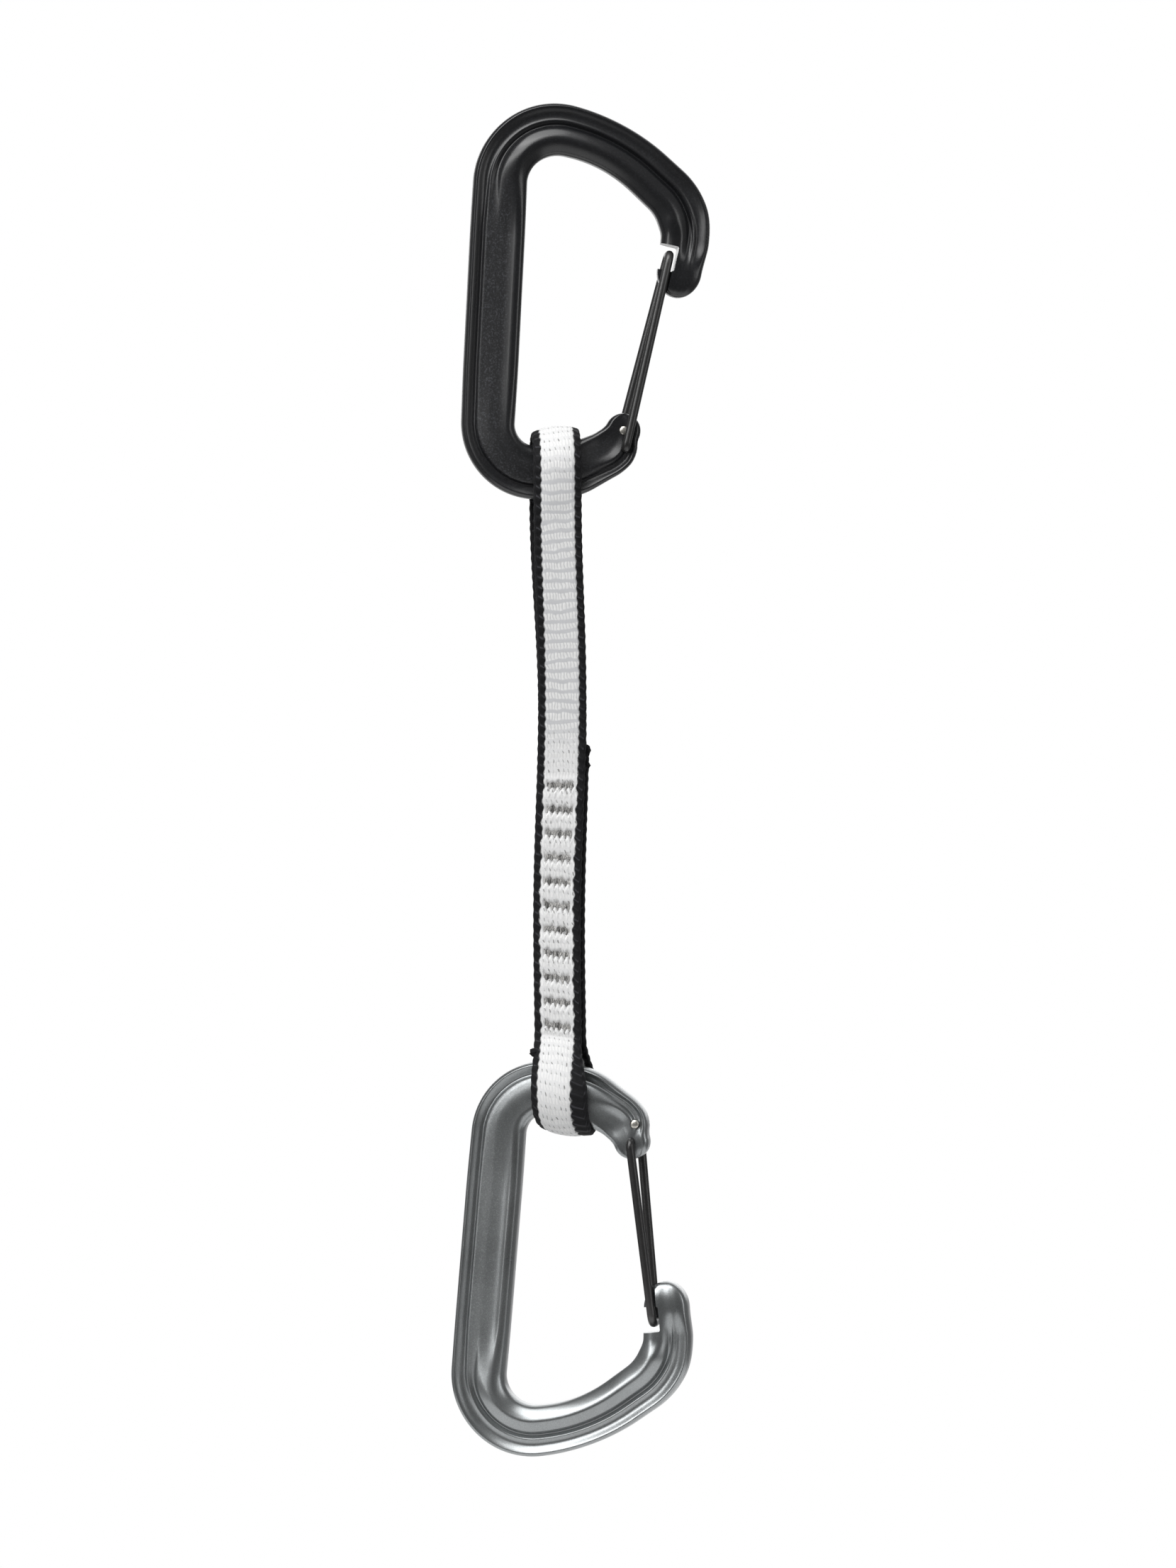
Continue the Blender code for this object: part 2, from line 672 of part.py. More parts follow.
def add_sling(parts, cutters, upper, lower, webbing_material, thread_material):
    sling = Sling(upper, lower)
    place = add_place("sling_place", parts, upper, (0.0, 0.0, 0.0))
    webbing = add_object("sling_webbing", webbing_mesh("sling_webbing", sling, upper), parts, place)
    webbing.data.materials.append(webbing_material)
    slots = new_collection("tack_slots", cutters)
    slot_depth = 2 * (LAYER_PITCH + WEBBING_THICKNESS)
    slot_size = (slot_depth, TACK_STEM_HEIGHT + 2 * CLEARANCE, TACK_LENGTH + 2 * CLEARANCE)
    for number in range(TACK_COUNT):
        along = FIRST_TACK + number * TACK_PITCH
        label = f"{number + 1:02d}"
        add_tack("bar_tack_" + label, parts, place, upper, sling, along, thread_material)
        middle = sling.place(along, 0.0, 0.0) - upper
        slot = add_box_cutter("tack_slot_" + label, slots, place, middle, slot_size, sling.turn_at(along))
        hide_cutter(slot)
    cut = webbing.modifiers.new("tack_slots", "BOOLEAN")
    cut.operation = "DIFFERENCE"
    cut.operand_type = "COLLECTION"
    cut.collection = slots


def main():
    clear_scene()
    parts = new_collection("climbing_quickdraw")
    cutters = new_collection("cutters")

    black = new_material("black_anodised", colour=(0.017, 0.018, 0.021), roughness=0.38, metallic=0.6)
    grey = new_material("grey_anodised", colour=(0.13, 0.14, 0.145), roughness=0.32, metallic=0.8)
    steel = new_material("dark_wire", colour=(0.03, 0.03, 0.033), roughness=0.35, metallic=0.9)
    webbing = new_material("white_webbing", colour=(0.75, 0.75, 0.76), roughness=0.85, metallic=0.0)
    thread = new_material("grey_thread", colour=(0.4, 0.385, 0.37), roughness=0.7, metallic=0.0)

    upper_turn = (0.0, UPPER_TILT, UPPER_TURN)
    upper_place = add_place("upper_place", parts, (0.0, 0.0, 0.0), upper_turn)
    seat = basket_seat()
    add_carabiner("upper", parts, cutters, upper_place, -seat, black, steel)

    upper_matrix = upper_place.rotation_euler.to_matrix()
    upper_loop = upper_matrix @ (loop_place(UPPER_LOOP_REACH) - seat)
    lower_loop = upper_loop + Vector((SLING_DRIFT, 0.0, -SLING_SPAN))
    add_sling(parts, cutters, upper_loop, lower_loop, webbing, thread)

    lower_place = add_place("lower_place", parts, lower_loop, (180.0, LOWER_TILT, LOWER_TURN))
    add_carabiner("lower", parts, cutters, lower_place, -loop_place(LOWER_LOOP_REACH), grey, steel)


main()
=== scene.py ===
"""Looks of a hanging climbing quickdraw, laid out as an add-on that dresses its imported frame."""

import json
import math

import bpy
import numpy as np
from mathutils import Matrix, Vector


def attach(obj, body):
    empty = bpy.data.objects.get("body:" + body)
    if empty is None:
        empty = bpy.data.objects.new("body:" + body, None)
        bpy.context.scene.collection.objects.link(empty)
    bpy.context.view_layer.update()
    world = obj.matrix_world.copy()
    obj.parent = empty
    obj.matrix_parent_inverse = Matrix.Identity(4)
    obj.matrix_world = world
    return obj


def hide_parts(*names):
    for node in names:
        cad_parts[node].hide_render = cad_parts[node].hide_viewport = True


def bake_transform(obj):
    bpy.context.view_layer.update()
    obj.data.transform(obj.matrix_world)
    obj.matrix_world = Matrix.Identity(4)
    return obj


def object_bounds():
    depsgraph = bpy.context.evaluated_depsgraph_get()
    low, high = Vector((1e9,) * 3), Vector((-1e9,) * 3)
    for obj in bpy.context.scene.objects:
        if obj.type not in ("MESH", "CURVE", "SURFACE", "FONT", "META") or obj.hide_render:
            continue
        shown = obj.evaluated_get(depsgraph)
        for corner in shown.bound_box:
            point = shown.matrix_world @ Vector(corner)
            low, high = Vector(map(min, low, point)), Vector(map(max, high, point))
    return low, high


bl_info = {
    "name": "Climbing quickdraw",
    "version": (1, 0, 0),
    "blender": (4, 5, 0),
    "location": "View3D > Sidebar > Quickdraw",
    "description": "Dresses the two carabiners and the sewn sling of a climbing quickdraw",
    "category": "Add Mesh",
}

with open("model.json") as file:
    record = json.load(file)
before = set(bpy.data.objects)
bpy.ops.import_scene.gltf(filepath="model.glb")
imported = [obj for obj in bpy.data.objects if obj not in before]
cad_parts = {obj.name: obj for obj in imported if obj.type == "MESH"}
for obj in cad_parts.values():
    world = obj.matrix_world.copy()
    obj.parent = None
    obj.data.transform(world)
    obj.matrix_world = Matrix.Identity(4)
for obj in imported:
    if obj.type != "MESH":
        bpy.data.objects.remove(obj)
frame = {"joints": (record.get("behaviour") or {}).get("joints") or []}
CAD_BOX = [list(corner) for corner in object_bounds()]
JOINTS = {joint["name"]: joint for joint in frame["joints"]}

MILLIMETRE = 0.001
TINY = 1e-9
FULL_TURN = 2.0 * math.pi
SIDES = ("upper", "lower")
THICKNESS_AXIS = np.array([0.0, 1.0, 0.0])
ACROSS_AXIS = np.array([1.0, 0.0, 0.0])

# Angles between faces, in degrees, past which an edge is shaded as sharp
PLAIN_SHARP = 40.0
FRAME_SHARP = 60.0
THREAD_SHARP = 80.0

# How far the rounded ends of the frame and of a pin turn, in degrees, and a pin's rings of points
FRAME_END_TURN = 89.0
PIN_END_TURN = 85.0
PIN_END_RINGS = 6

# The weave: where the bright floats lie on each rib, as a share of it, the power that narrows its valleys,
# the lengths along and across the strip of the two slow sines that make its ribs uneven, and the distance
# between the pale flecks on its dark yarn, in metres
FLOATS_AT = 0.62
VALLEY_POWER = 1.5
RIB_SINES = ((0.0021, 0.0013), (0.0037, -0.0029))
FLECK_PITCH = 0.004

# How far apart the patterns of the strip's two faces are taken, in metres, and where the bumps on its edges
# begin, as a share of its half-width
FACES_APART = 0.02
RIM_START = 0.8

# Round a loop: how far the curl reaches and over what it fades, in loop radii, its power and its balance
CURL_REACH = 1.7
CURL_FADE = 0.65
CURL_POWER = 2.5
CURL_BALANCE = 0.65

# The share of the weave's relief that a seam pulls flat, a bar tack's shade between its streaks, and
# what a streak adds
SEAM_FLATTENS = 0.6
BAND_SHADE = 0.05
STREAK_SHADE = 0.3

# Lengths of the two sines in a bar tack's uneven top, and how far each moves on to the next bar tack, as
# its teeth do
TOP_SINES = ((0.00041, 2.3), (0.00023, -1.7))
TOOTH_MOVE = 0.37

# A bar tack's needle holes: how far aside each lies, as a share of its length, and how dark its painted shade
# is. From one bar tack to the next they sway and fade by sines, whose phases go by the bar tack and the hole.
NEEDLE_HOLES = ((-0.29, 1.0), (0.04, 0.9), (0.33, 0.6))
HOLE_SWAY = 0.05
HOLE_FADE = 0.35
HOLE_PHASES = ((2.1, 1.3), (1.7, 2.9))

# A bar tack's thread: points on each stroke and round it, the first bar tack's seed, the least and greatest
# ends of a stroke, how far it reaches between teeth, how far its ends scatter, in thread diameters, how dark
# a stroke's painted shade may be, and how much of its ends is painted dark as shade and how deep they are
# sunk
STROKE_POINTS = 8
THREAD_AROUND = 6
TACK_SEED = 100
STROKE_ENDS = (0.55, 1.15)
STROKE_REACH = 0.7
STROKE_SCATTER = 1.0 / 3.0
STROKE_SHADE = 0.85
STROKE_DIVE = 0.35
THREAD_SINK = 0.3

# A melted end: points along and round it, its seed, the lengths of its ripples, their depth and the number
# of ways they twist, the power that closes its ends and what is left of its radius there, how much its knobs
# add, its shade, and how far its pattern is stretched
MELT_RINGS = 101
MELT_AROUND = 18
MELT_SEED = 7
MELT_LENGTHS = (0.0011, 0.0018, 0.0025, 0.0032, 0.0039, 0.0046)
MELT_DEPTH = 0.35
MELT_TWISTS = 3
MELT_POWER = 16
MELT_LEAST = 0.025
MELT_KNOB = 0.4
MELT_SHADE = 0.4
MELT_STRETCH = 3.0

# A frayed lump: points along and round it, its first and last rings' angles from its axis, in degrees, its
# ripples' depth, waves round it and waves along it, and where on a rib its pattern is taken
TUFT_RINGS = 25
TUFT_AROUND = 20
TUFT_POLES = (1.0, 179.0)
TUFT_RIPPLES = ((0.14, 5.0, 4.0), (0.10, 3.0, -7.0))
TUFT_ROW = 0.3

# How far inside the strip's edge a lump's middle lies, as a share of the strip's thickness, and the knot's,
# as a share of its diameter
FRAY_INSIDE = 1.0 / 3.0
KNOT_INSIDE = 1.0 / 6.0

# The studio's lamps: place, width, height and watts
SOFTBOXES = {
    "key_softbox": ((-0.50, -0.80, 0.60), 0.75, 0.75, 7.0),
    "top_softbox": ((-0.15, -0.42, 0.78), 0.8, 0.55, 4.8),
    "left_softbox": ((-0.75, -0.65, 0.12), 0.2, 0.62, 1.6),
    "right_softbox": ((0.85, -0.60, 0.05), 0.25, 0.7, 1.2),
    "back_softbox": ((0.25, 1.00, 0.45), 1.3, 1.3, 6.0),
}

# Half of the bar's cross-section at places along it, in millimetres, from its inner edge to its outer edge.
# Each point is a distance from the inner edge, a height above the middle plane, and how coarse the grain is.
# In order: eight points over the rope bar or panel, two in its groove, a ridge, two in a valley and three on
# the rim.
SECTIONS = {
    "nose tip": (
        (0.0, 2.0, 0.1), (0.4, 3.0, 0.1), (1.2, 3.8, 0.0), (2.1, 4.15, 0.0),
        (2.9, 4.2, 0.0), (3.7, 4.2, 0.0), (4.4, 4.15, 0.0), (5.2, 4.1, 0.1),
        (5.8, 4.1, 0.1), (6.4, 4.1, 0.2), (7.0, 4.05, 0.2), (7.6, 4.0, 0.2),
        (8.2, 3.9, 0.2), (9.2, 3.55, 0.1), (9.7, 3.2, 0.1), (10.2, 2.1, 0.1),
    ),
    "nose": (
        (0.0, 2.0, 0.1), (0.4, 3.0, 0.1), (1.2, 3.8, 0.0), (2.1, 4.15, 0.0),
        (2.9, 4.2, 0.0), (3.7, 4.15, 0.0), (4.4, 3.9, 0.0), (5.2, 3.2, 0.1),
        (5.6, 2.7, 0.2), (6.2, 2.6, 0.4), (6.8, 3.3, 0.3), (7.3, 2.6, 0.4),
        (7.9, 2.6, 0.4), (9.3, 3.4, 0.1), (9.7, 3.2, 0.1), (10.2, 2.1, 0.1),
    ),
    "basket": (
        (0.0, 1.9, 0.1), (0.35, 3.0, 0.0), (1.0, 3.75, 0.0), (2.4, 4.7, 0.0),
        (3.4, 5.1, 0.1), (4.1, 5.1, 0.1), (5.0, 4.75, 0.0), (6.5, 3.8, 0.0),
        (6.7, 2.3, 0.0), (7.15, 1.9, 0.0), (8.0, 2.8, 0.1), (8.7, 2.4, 0.2),
        (9.8, 2.4, 0.3), (11.3, 3.4, 0.0), (11.8, 3.1, 0.0), (12.2, 2.2, 0.1),
    ),
    "spine": (
        (0.0, 1.7, 0.1), (0.3, 2.7, 0.0), (0.9, 3.35, 0.0), (2.1, 3.5, 0.0),
        (3.0, 3.05, 0.3), (4.0, 2.8, 0.8), (5.2, 2.9, 0.9), (6.2, 3.2, 0.9),
        (6.9, 3.25, 0.9), (8.2, 3.3, 0.9), (9.3, 3.4, 0.8), (9.5, 2.2, 0.2),
        (10.1, 2.1, 0.1), (11.6, 3.2, 0.1), (12.1, 3.1, 0.2), (12.6, 2.0, 0.2),
    ),
    "small end": (
        (0.0, 1.9, 0.2), (0.4, 3.2, 0.2), (1.1, 3.9, 0.2), (1.9, 4.2, 0.3),
        (2.8, 4.15, 0.4), (3.8, 4.15, 0.5), (5.0, 4.25, 0.5), (6.2, 4.2, 0.6),
        (7.2, 4.0, 0.8), (8.0, 3.8, 0.9), (8.7, 3.4, 0.8), (9.0, 2.4, 0.3),
        (9.6, 2.3, 0.3), (11.1, 3.4, 0.2), (11.5, 3.25, 0.2), (12.1, 2.1, 0.2),
    ),
    "hinge arm": (
        (0.0, 1.6, 0.1), (0.3, 2.6, 0.0), (1.0, 3.0, 0.0), (1.7, 2.8, 0.1),
        (2.6, 2.5, 0.3), (4.4, 2.5, 0.4), (5.6, 2.6, 0.2), (6.6, 3.1, 0.0),
        (7.3, 3.4, 0.0), (7.8, 2.9, 0.3), (8.1, 2.3, 0.5), (8.8, 2.1, 0.6),
        (9.3, 2.2, 0.5), (9.9, 3.0, 0.2), (10.4, 2.9, 0.1), (10.8, 1.5, 0.1),
    ),
    "eye": (
        (0.0, 2.0, 0.1), (0.2, 2.45, 0.0), (0.7, 3.0, 0.0), (1.2, 3.0, 0.0),
        (1.8, 2.9, 0.1), (2.6, 2.9, 0.1), (3.2, 2.9, 0.1), (3.8, 2.9, 0.1),
        (4.3, 2.9, 0.1), (4.8, 2.9, 0.1), (5.3, 2.9, 0.1), (5.8, 2.9, 0.1),
        (6.3, 2.9, 0.1), (7.0, 3.05, 0.0), (7.7, 2.6, 0.0), (8.0, 2.0, 0.1),
    ),
}


# Properties

def label_of(about):
    """A property's name: what stands before the colon in the words about it."""
    return about.split(":")[0]


def size(metres, about):
    """A length in metres."""
    return bpy.props.FloatProperty(
        name=label_of(about), description=about, default=metres, unit="LENGTH", precision=5)


def across_and_up(pair, about):
    """Two lengths in metres, across and up in a carabiner's own plane."""
    return bpy.props.FloatVectorProperty(
        name=label_of(about), description=about, default=pair, size=2, unit="LENGTH", precision=5)


def share(value, about):
    """A plain number, most often a part of a whole."""
    return bpy.props.FloatProperty(
        name=label_of(about), description=about, default=value, subtype="FACTOR")


def count(value, about):
    """A whole number, at least 1."""
    return bpy.props.IntProperty(name=label_of(about), description=about, default=value, min=1)


def tint(rgb, about):
    """A colour, as linear red, green and blue."""
    return bpy.props.FloatVectorProperty(
        name=label_of(about), description=about, default=rgb, size=3, subtype="COLOR", min=0.0, max=1.0)


class QuickdrawCarabiner(bpy.types.PropertyGroup):
    """Sizes of a carabiner's frame, in its own upright plane"""
    frame_length: size(0.0918, "Frame length: basket's top to small end's bottom")
    frame_width: size(0.0552, "Frame width: spine's outside to nose's outside")
    spine_width: size(0.0126, "Spine width: of the bar")
    basket_width: size(0.0122, "Basket width: of the bar")
    crown_width: size(0.0113, "Crown width: of the bar between basket and nose")
    nose_width: size(0.0118, "Nose width: of the bar at the nose's bend")
    nose_end_width: size(0.0102, "Nose end width: of the bar")
    small_end_width: size(0.0121, "Small end width: of the bar at the sling")
    hinge_arm_width: size(0.0108, "Hinge arm width: of the bar below the eye")
    eye_diameter: size(0.0080, "Eye diameter: of the bar's end round the pins")
    eye_thickness: size(0.0062, "Eye thickness: across the frame's plane")
    nose_thickness: size(0.0084, "Nose thickness: across the frame's plane")
    spine_ease: size(0.0237, "Spine ease: from the spine's section to an end's section")
    nose_bend: size(0.0140, "Nose bend: radius of the centreline above the nose")
    crown_bend: size(0.0400, "Crown bend: radius between basket and nose")
    shoulder_bend: size(0.0128, "Shoulder bend: radius between spine and basket")
    heel_bend: size(0.0112, "Heel bend: radius between spine and small end")
    toe_bend: size(0.0140, "Toe bend: radius between small end and hinge arm")
    hinge_arm_bend: size(0.0070, "Hinge arm bend: radius below the eye")
    nose_end: across_and_up((-0.0010, -0.0314), "Nose end: from the nose's and the basket's lines")
    nose_corner: across_and_up((0.0008, -0.0179), "Nose corner: from the nose's and the basket's lines")
    crown_corner: across_and_up((-0.0169, -0.0030), "Crown corner: from the nose's and the basket's lines")
    shoulder_corner: across_and_up((0.0, 0.0022), "Shoulder corner: from the spine's and the basket's lines")
    heel_corner: across_and_up((0.0, -0.0006), "Heel corner: from the spine's and the small end's lines")
    toe_corner: across_and_up((0.0193, 0.0013), "Toe corner: from the spine's and the small end's lines")
    arm_corner: across_and_up((-0.0139, 0.0065), "Arm corner: from the nose's and the small end's lines")
    eye: across_and_up((-0.0121, 0.0112), "Eye: from the nose's and the small end's lines")
    nose_tip_length: size(0.0061, "Nose tip length: of the rounded tip")
    groove_start: size(0.0070, "Groove start: from the nose's end to the grooves' full depth")
    step: size(0.0006, "Step: between rings of points")
    section_steps: count(6, "Section steps: points on each span of the cross-section")
    tip_steps: count(16, "Tip steps: rings on each rounded end")
    tip_rounding: share(0.5, "Tip rounding: power by which the rounded ends draw in")
    arm_ease: size(0.0050, "Arm ease: how far the hinge arm's inner side is rounded off")
    arm_rings: count(9, "Arm rings: on each side, averaged by that rounding")


class QuickdrawGate(bpy.types.PropertyGroup):
    """Sizes of a carabiner's wire gate and of the cuts that take it"""
    wire_diameter: size(0.0020, "Wire diameter: of the gate")
    wire_bend: size(0.0013, "Wire bend: radius at the pins")
    pin_spacing: size(0.0041, "Pin spacing: rear pin above front pin")
    pin_lean: size(0.0006, "Pin lean: front pin outside rear pin")
    tip: across_and_up((-0.0036, -0.0278), "Tip: of the wire, from the nose's and the basket's lines")
    nose_lip: size(0.0036, "Nose lip: thickness between the wire's legs")
    notch_above: size(0.0021, "Notch above: room over the wire's tip")
    notch_below: size(0.0037, "Notch below: height under the wire's tip")
    notch_extra: size(0.0004, "Notch extra: depth behind the wire's tip")
    notch_corner: size(0.0005, "Notch corner: radius of the milled corners")
    clearance: size(0.0003, "Clearance: between wire and frame")
    pin_gap: size(0.00004, "Pin gap: round a pin in its hole")
    pin_recess: size(0.0001, "Pin recess: pin's end below the eye's face")
    dome: size(0.0004, "Dome: height of a pin's end")
    bend_start: size(0.0018, "Bend start: from the rear leg's elbow")
    bend_length: size(0.0140, "Bend length: of the rear leg that bends as the gate opens")
    rubbed_reach: size(0.0070, "Rubbed reach: of the paler wire round its tip")
    step: size(0.0003, "Step: between rings of points")
    ring_points: count(24, "Ring points: round the wire")


class QuickdrawSling(bpy.types.PropertyGroup):
    """Sizes of the webbing, its weave and its stitching"""
    width: size(0.0110, "Width: of the webbing")
    thickness: size(0.0018, "Thickness: of the webbing")
    edge: size(0.0005, "Edge: roundness of the webbing's edges")
    loop_cavity: size(0.0146, "Loop cavity: inside diameter of each loop")
    lap_length: size(0.0681, "Lap length: of the sewn lap")
    lap_from_loop: size(0.0083, "Lap from loop: lap's end to the lower loop's middle")
    sway_above: size(0.0031, "Sway above: of the strap's upper half, sideways")
    sway_below: size(-0.0009, "Sway below: of the strap's lower half, sideways")
    layer_bend: size(0.0042, "Layer bend: radius where the layers part")
    layer_gap: size(0.00025, "Layer gap: between the sewn layers")
    loop_crown: size(0.0011, "Loop crown: webbing's middle past its edges round a loop")
    flat_reach: size(0.0100, "Flat reach: of the flat, slit weave above the lap")
    lap_skew: size(0.0007, "Lap skew: of the inner layer in the lap, sideways")
    lower_skew: size(0.0024, "Lower skew: of the strip at the lower loop's back, sideways")
    lower_flare: size(0.0022, "Lower flare: of the strip's edge at the lower loop's front")
    row_pitch: size(0.00228, "Row pitch: between the weave's ribs")
    row_sway: share(0.05, "Row sway: unevenness of the ribs, as a share of their pitch")
    column_pitch: size(0.00072, "Column pitch: between the weave's warp floats")
    slit_pitch: size(0.00112, "Slit pitch: between the weave's slits near the loops")
    rib_depth: size(0.00007, "Rib depth: of the valleys between ribs")
    bead_depth: size(0.00018, "Bead depth: of the valleys between the dark edges' beads")
    selvedge: size(0.0017, "Selvedge: width of the dark edge bands")
    selvedge_blend: size(0.00024, "Selvedge blend: from white to dark yarn")
    selvedge_groove: size(0.00012, "Selvedge groove: depth along the line between the yarns")
    selvedge_furrow: size(0.00022, "Selvedge furrow: half-width of that groove")
    scallop: size(0.00014, "Scallop: waviness of the line between white and dark yarn")
    edge_bump: size(0.00006, "Edge bump: along the webbing's edges")
    melt_radius: size(0.0008, "Melt radius: of the bead on a cut end")
    end_knob: size(0.0006, "End knob: the outer bead's reach past the webbing's edge")
    upper_fray: size(0.0029, "Upper fray: length of the upper lump at the inner cut end")
    lower_fray: size(0.0019, "Lower fray: length of the lower lump at the inner cut end")
    knot: size(0.0021, "Knot: diameter of the knotted yarn at the lap's lower end")
    step: size(0.00027, "Step: between rings of points")
    face_points: count(60, "Face points: across each face")
    edge_points: count(5, "Edge points: round each edge")
    tack_count: count(11, "Tack count: bar tacks on each face")
    tack_pitch: size(0.00548, "Tack pitch: between bar tacks")
    tack_length: size(0.0064, "Tack length: of a bar tack, across the webbing")
    tack_height: size(0.0027, "Tack height: of a bar tack's zigzag")
    tack_margin: size(0.00065, "Tack margin: of the seam beyond its outer bar tacks")
    tack_sink: size(0.00050, "Tack sink: depth of a bar tack's dent")
    tack_uneven: size(0.00024, "Tack uneven: sway of a bar tack's upper edge")
    soft_edge: size(0.00030, "Soft edge: fall of a bar tack's dent")
    soft_top: size(0.00080, "Soft top: fall of the dent at a bar tack's top and ends")
    needle_pitch: size(0.00074, "Needle pitch: between the streaks under a bar tack")
    needle_depth: size(0.00035, "Needle depth: of the needle's holes")
    needle_hole: size(0.00040, "Needle hole: half-width of the needle's holes")
    needle_height: size(0.00064, "Needle height: half-height of the needle's holes")
    tooth_pitch: size(0.00124, "Tooth pitch: between the floats below a bar tack")
    tooth_start: size(0.00045, "Tooth start: of those floats, below the bar tack's middle")
    tooth_height: size(0.0011, "Tooth height: of those floats")
    tooth_swell: size(0.00026, "Tooth swell: how far those floats stand out")
    pinch: size(0.00017, "Pinch: of the line between the yarns at a bar tack")
    pillow: size(0.00028, "Pillow: swell of the webbing between bar tacks")
    thread_diameter: size(0.00027, "Thread diameter: of the stitching")
    thread_twist: size(0.00045, "Thread twist: length of one turn of its strands")


class QuickdrawFinish(bpy.types.PropertyGroup):
    """Colours of the finishes"""
    black: tint((0.0085, 0.0088, 0.0100), "Black anodising: of the upper carabiner")
    grey: tint((0.34, 0.355, 0.36), "Grey anodising: of the lower carabiner")
    wire: tint((0.016, 0.0155, 0.0155), "Gate wire: dark and drawn")
    bare_steel: tint((0.62, 0.60, 0.55), "Bare steel: of the pins' ends")
    white_yarn: tint((0.90, 0.90, 0.895), "White yarn: of the webbing's warp floats")
    shaded_yarn: tint((0.58, 0.585, 0.60), "Shaded yarn: between the floats")
    # Painted shade: a dark colour put in needle holes, slits and bar tacks' dents, which are dark from shade;
    # the melted ends are darkened part way towards it
    painted_dark_shade: tint((0.085, 0.080, 0.075), "Hidden yarn: in needle holes and slits")
    black_yarn: tint((0.0065, 0.0065, 0.0075), "Black yarn: of the webbing's edges")
    thread: tint((0.72, 0.71, 0.69), "Thread: of the stitching")
    floor: tint((0.82, 0.82, 0.82), "Floor: of the studio")


class QuickdrawStage(bpy.types.PropertyGroup):
    """The camera's frame and the studio"""
    centre_across: size(0.00663, "Centre across: where the camera looks")
    centre_up: size(-0.14337, "Centre up: where the camera looks")
    frame_height: size(0.3579, "Frame height: that the camera takes in")
    distance: size(2.0, "Distance: of the camera")
    floor_drop: size(0.055, "Floor drop: below the object's lowest point")
    floor_size: size(0.46, "Floor size: across")
    floor_reach: size(0.22, "Floor reach: towards the camera")
    ambient: share(0.22, "Ambient: strength of the light from all round")
    camera_side: share(0.10, "Camera side: strength of the reflections from there")


# Curves and surfaces

def smooth_step(value):
    """Cubic ease, 3v2 - 2v3, flat below 0 and above 1."""
    value = np.clip(value, 0.0, 1.0)
    return value * value * (3.0 - 2.0 * value)


def bump(distance, width):
    """Bell curve, exp(-(d/w)2), that is 1 at no distance."""
    return np.exp(-(distance / width) ** 2)


def wave(turns):
    """Cosine ripple from 0 to 1, once each turn and 1 at whole turns."""
    return 0.5 + 0.5 * np.cos(FULL_TURN * turns)


def unit(vectors):
    """Vectors divided by their lengths."""
    return vectors / np.linalg.norm(vectors, axis=-1, keepdims=True)


def turned_left(directions):
    """Directions in a plane, turned by a quarter: (x, y) to (-y, x)."""
    return np.stack([-directions[..., 1], directions[..., 0]], axis=-1)


def round_angles(number):
    """Even angles round a full turn, from 0."""
    return FULL_TURN * np.arange(number) / number


def eased(distance, stops, values):
    """Values along a path, eased by the cubic step from each stop's value to the next one's."""
    stops = np.asarray(stops)
    values = np.asarray(values)
    after = np.clip(np.searchsorted(stops, distance), 1, len(stops) - 1)
    part = smooth_step((distance - stops[after - 1]) / (stops[after] - stops[after - 1]))
    part = part.reshape(part.shape + (1,) * (values.ndim - 1))
    return values[after - 1] + (values[after] - values[after - 1]) * part


def bent_path(corners, bends, step):
    """Straight runs joined by arcs, each arc tangent to the runs beside it.

    An arc's trim on each run is r tan(turn/2), limited where the runs are too short. On an arc the point is
    entry + r (inward (1 - cos a) + ahead sin a). Gives points, directions, distances and the bends' middles.
    """
    corners = np.asarray(corners, float)
    runs = np.diff(corners, axis=0)
    lengths = np.linalg.norm(runs, axis=1)
    aheads = runs / lengths[:, None]
    turns = np.arccos(np.clip(np.sum(aheads[:-1] * aheads[1:], axis=1), -1.0, 1.0))
    trims = np.zeros(len(corners))
    trims[1:-1] = np.asarray(bends) * np.tan(turns / 2)
    fit = np.minimum(1.0, lengths / np.maximum(trims[:-1] + trims[1:], TINY))
    trims = trims * np.minimum(np.append(fit, 1.0), np.append(1.0, fit))

    points, directions, distances, middles = [], [], [], []
    travelled = 0.0
    for number, ahead in enumerate(aheads):
        length = lengths[number] - trims[number] - trims[number + 1]
        start = corners[number] + ahead * trims[number]
        steps = math.ceil(length / step - TINY)
        if steps > 0:
            places = length * np.arange(steps) / steps
            points.append(start + places[:, None] * ahead)
            directions.append(np.repeat(ahead[None], steps, axis=0))
            distances.append(travelled + places)
            travelled += length
        if number < len(turns):
            turn = turns[number]
            radius = trims[number + 1] / math.tan(turn / 2)
            inward = (aheads[number + 1] - ahead * math.cos(turn)) / math.sin(turn)
            entry = corners[number + 1] - ahead * trims[number + 1]
            steps = max(2, math.ceil(radius * turn / step))
            swing = (turn * np.arange(steps) / steps)[:, None]
            points.append(entry + radius * (inward * (1.0 - np.cos(swing)) + ahead * np.sin(swing)))
            directions.append(ahead * np.cos(swing) + inward * np.sin(swing))
            distances.append(travelled + radius * swing[:, 0])
            middles.append(travelled + radius * turn / 2)
            travelled += radius * turn
    points.append(corners[-1:])
    directions.append(aheads[-1:])
    distances.append([travelled])
    return np.concatenate(points), np.concatenate(directions), np.concatenate(distances), middles


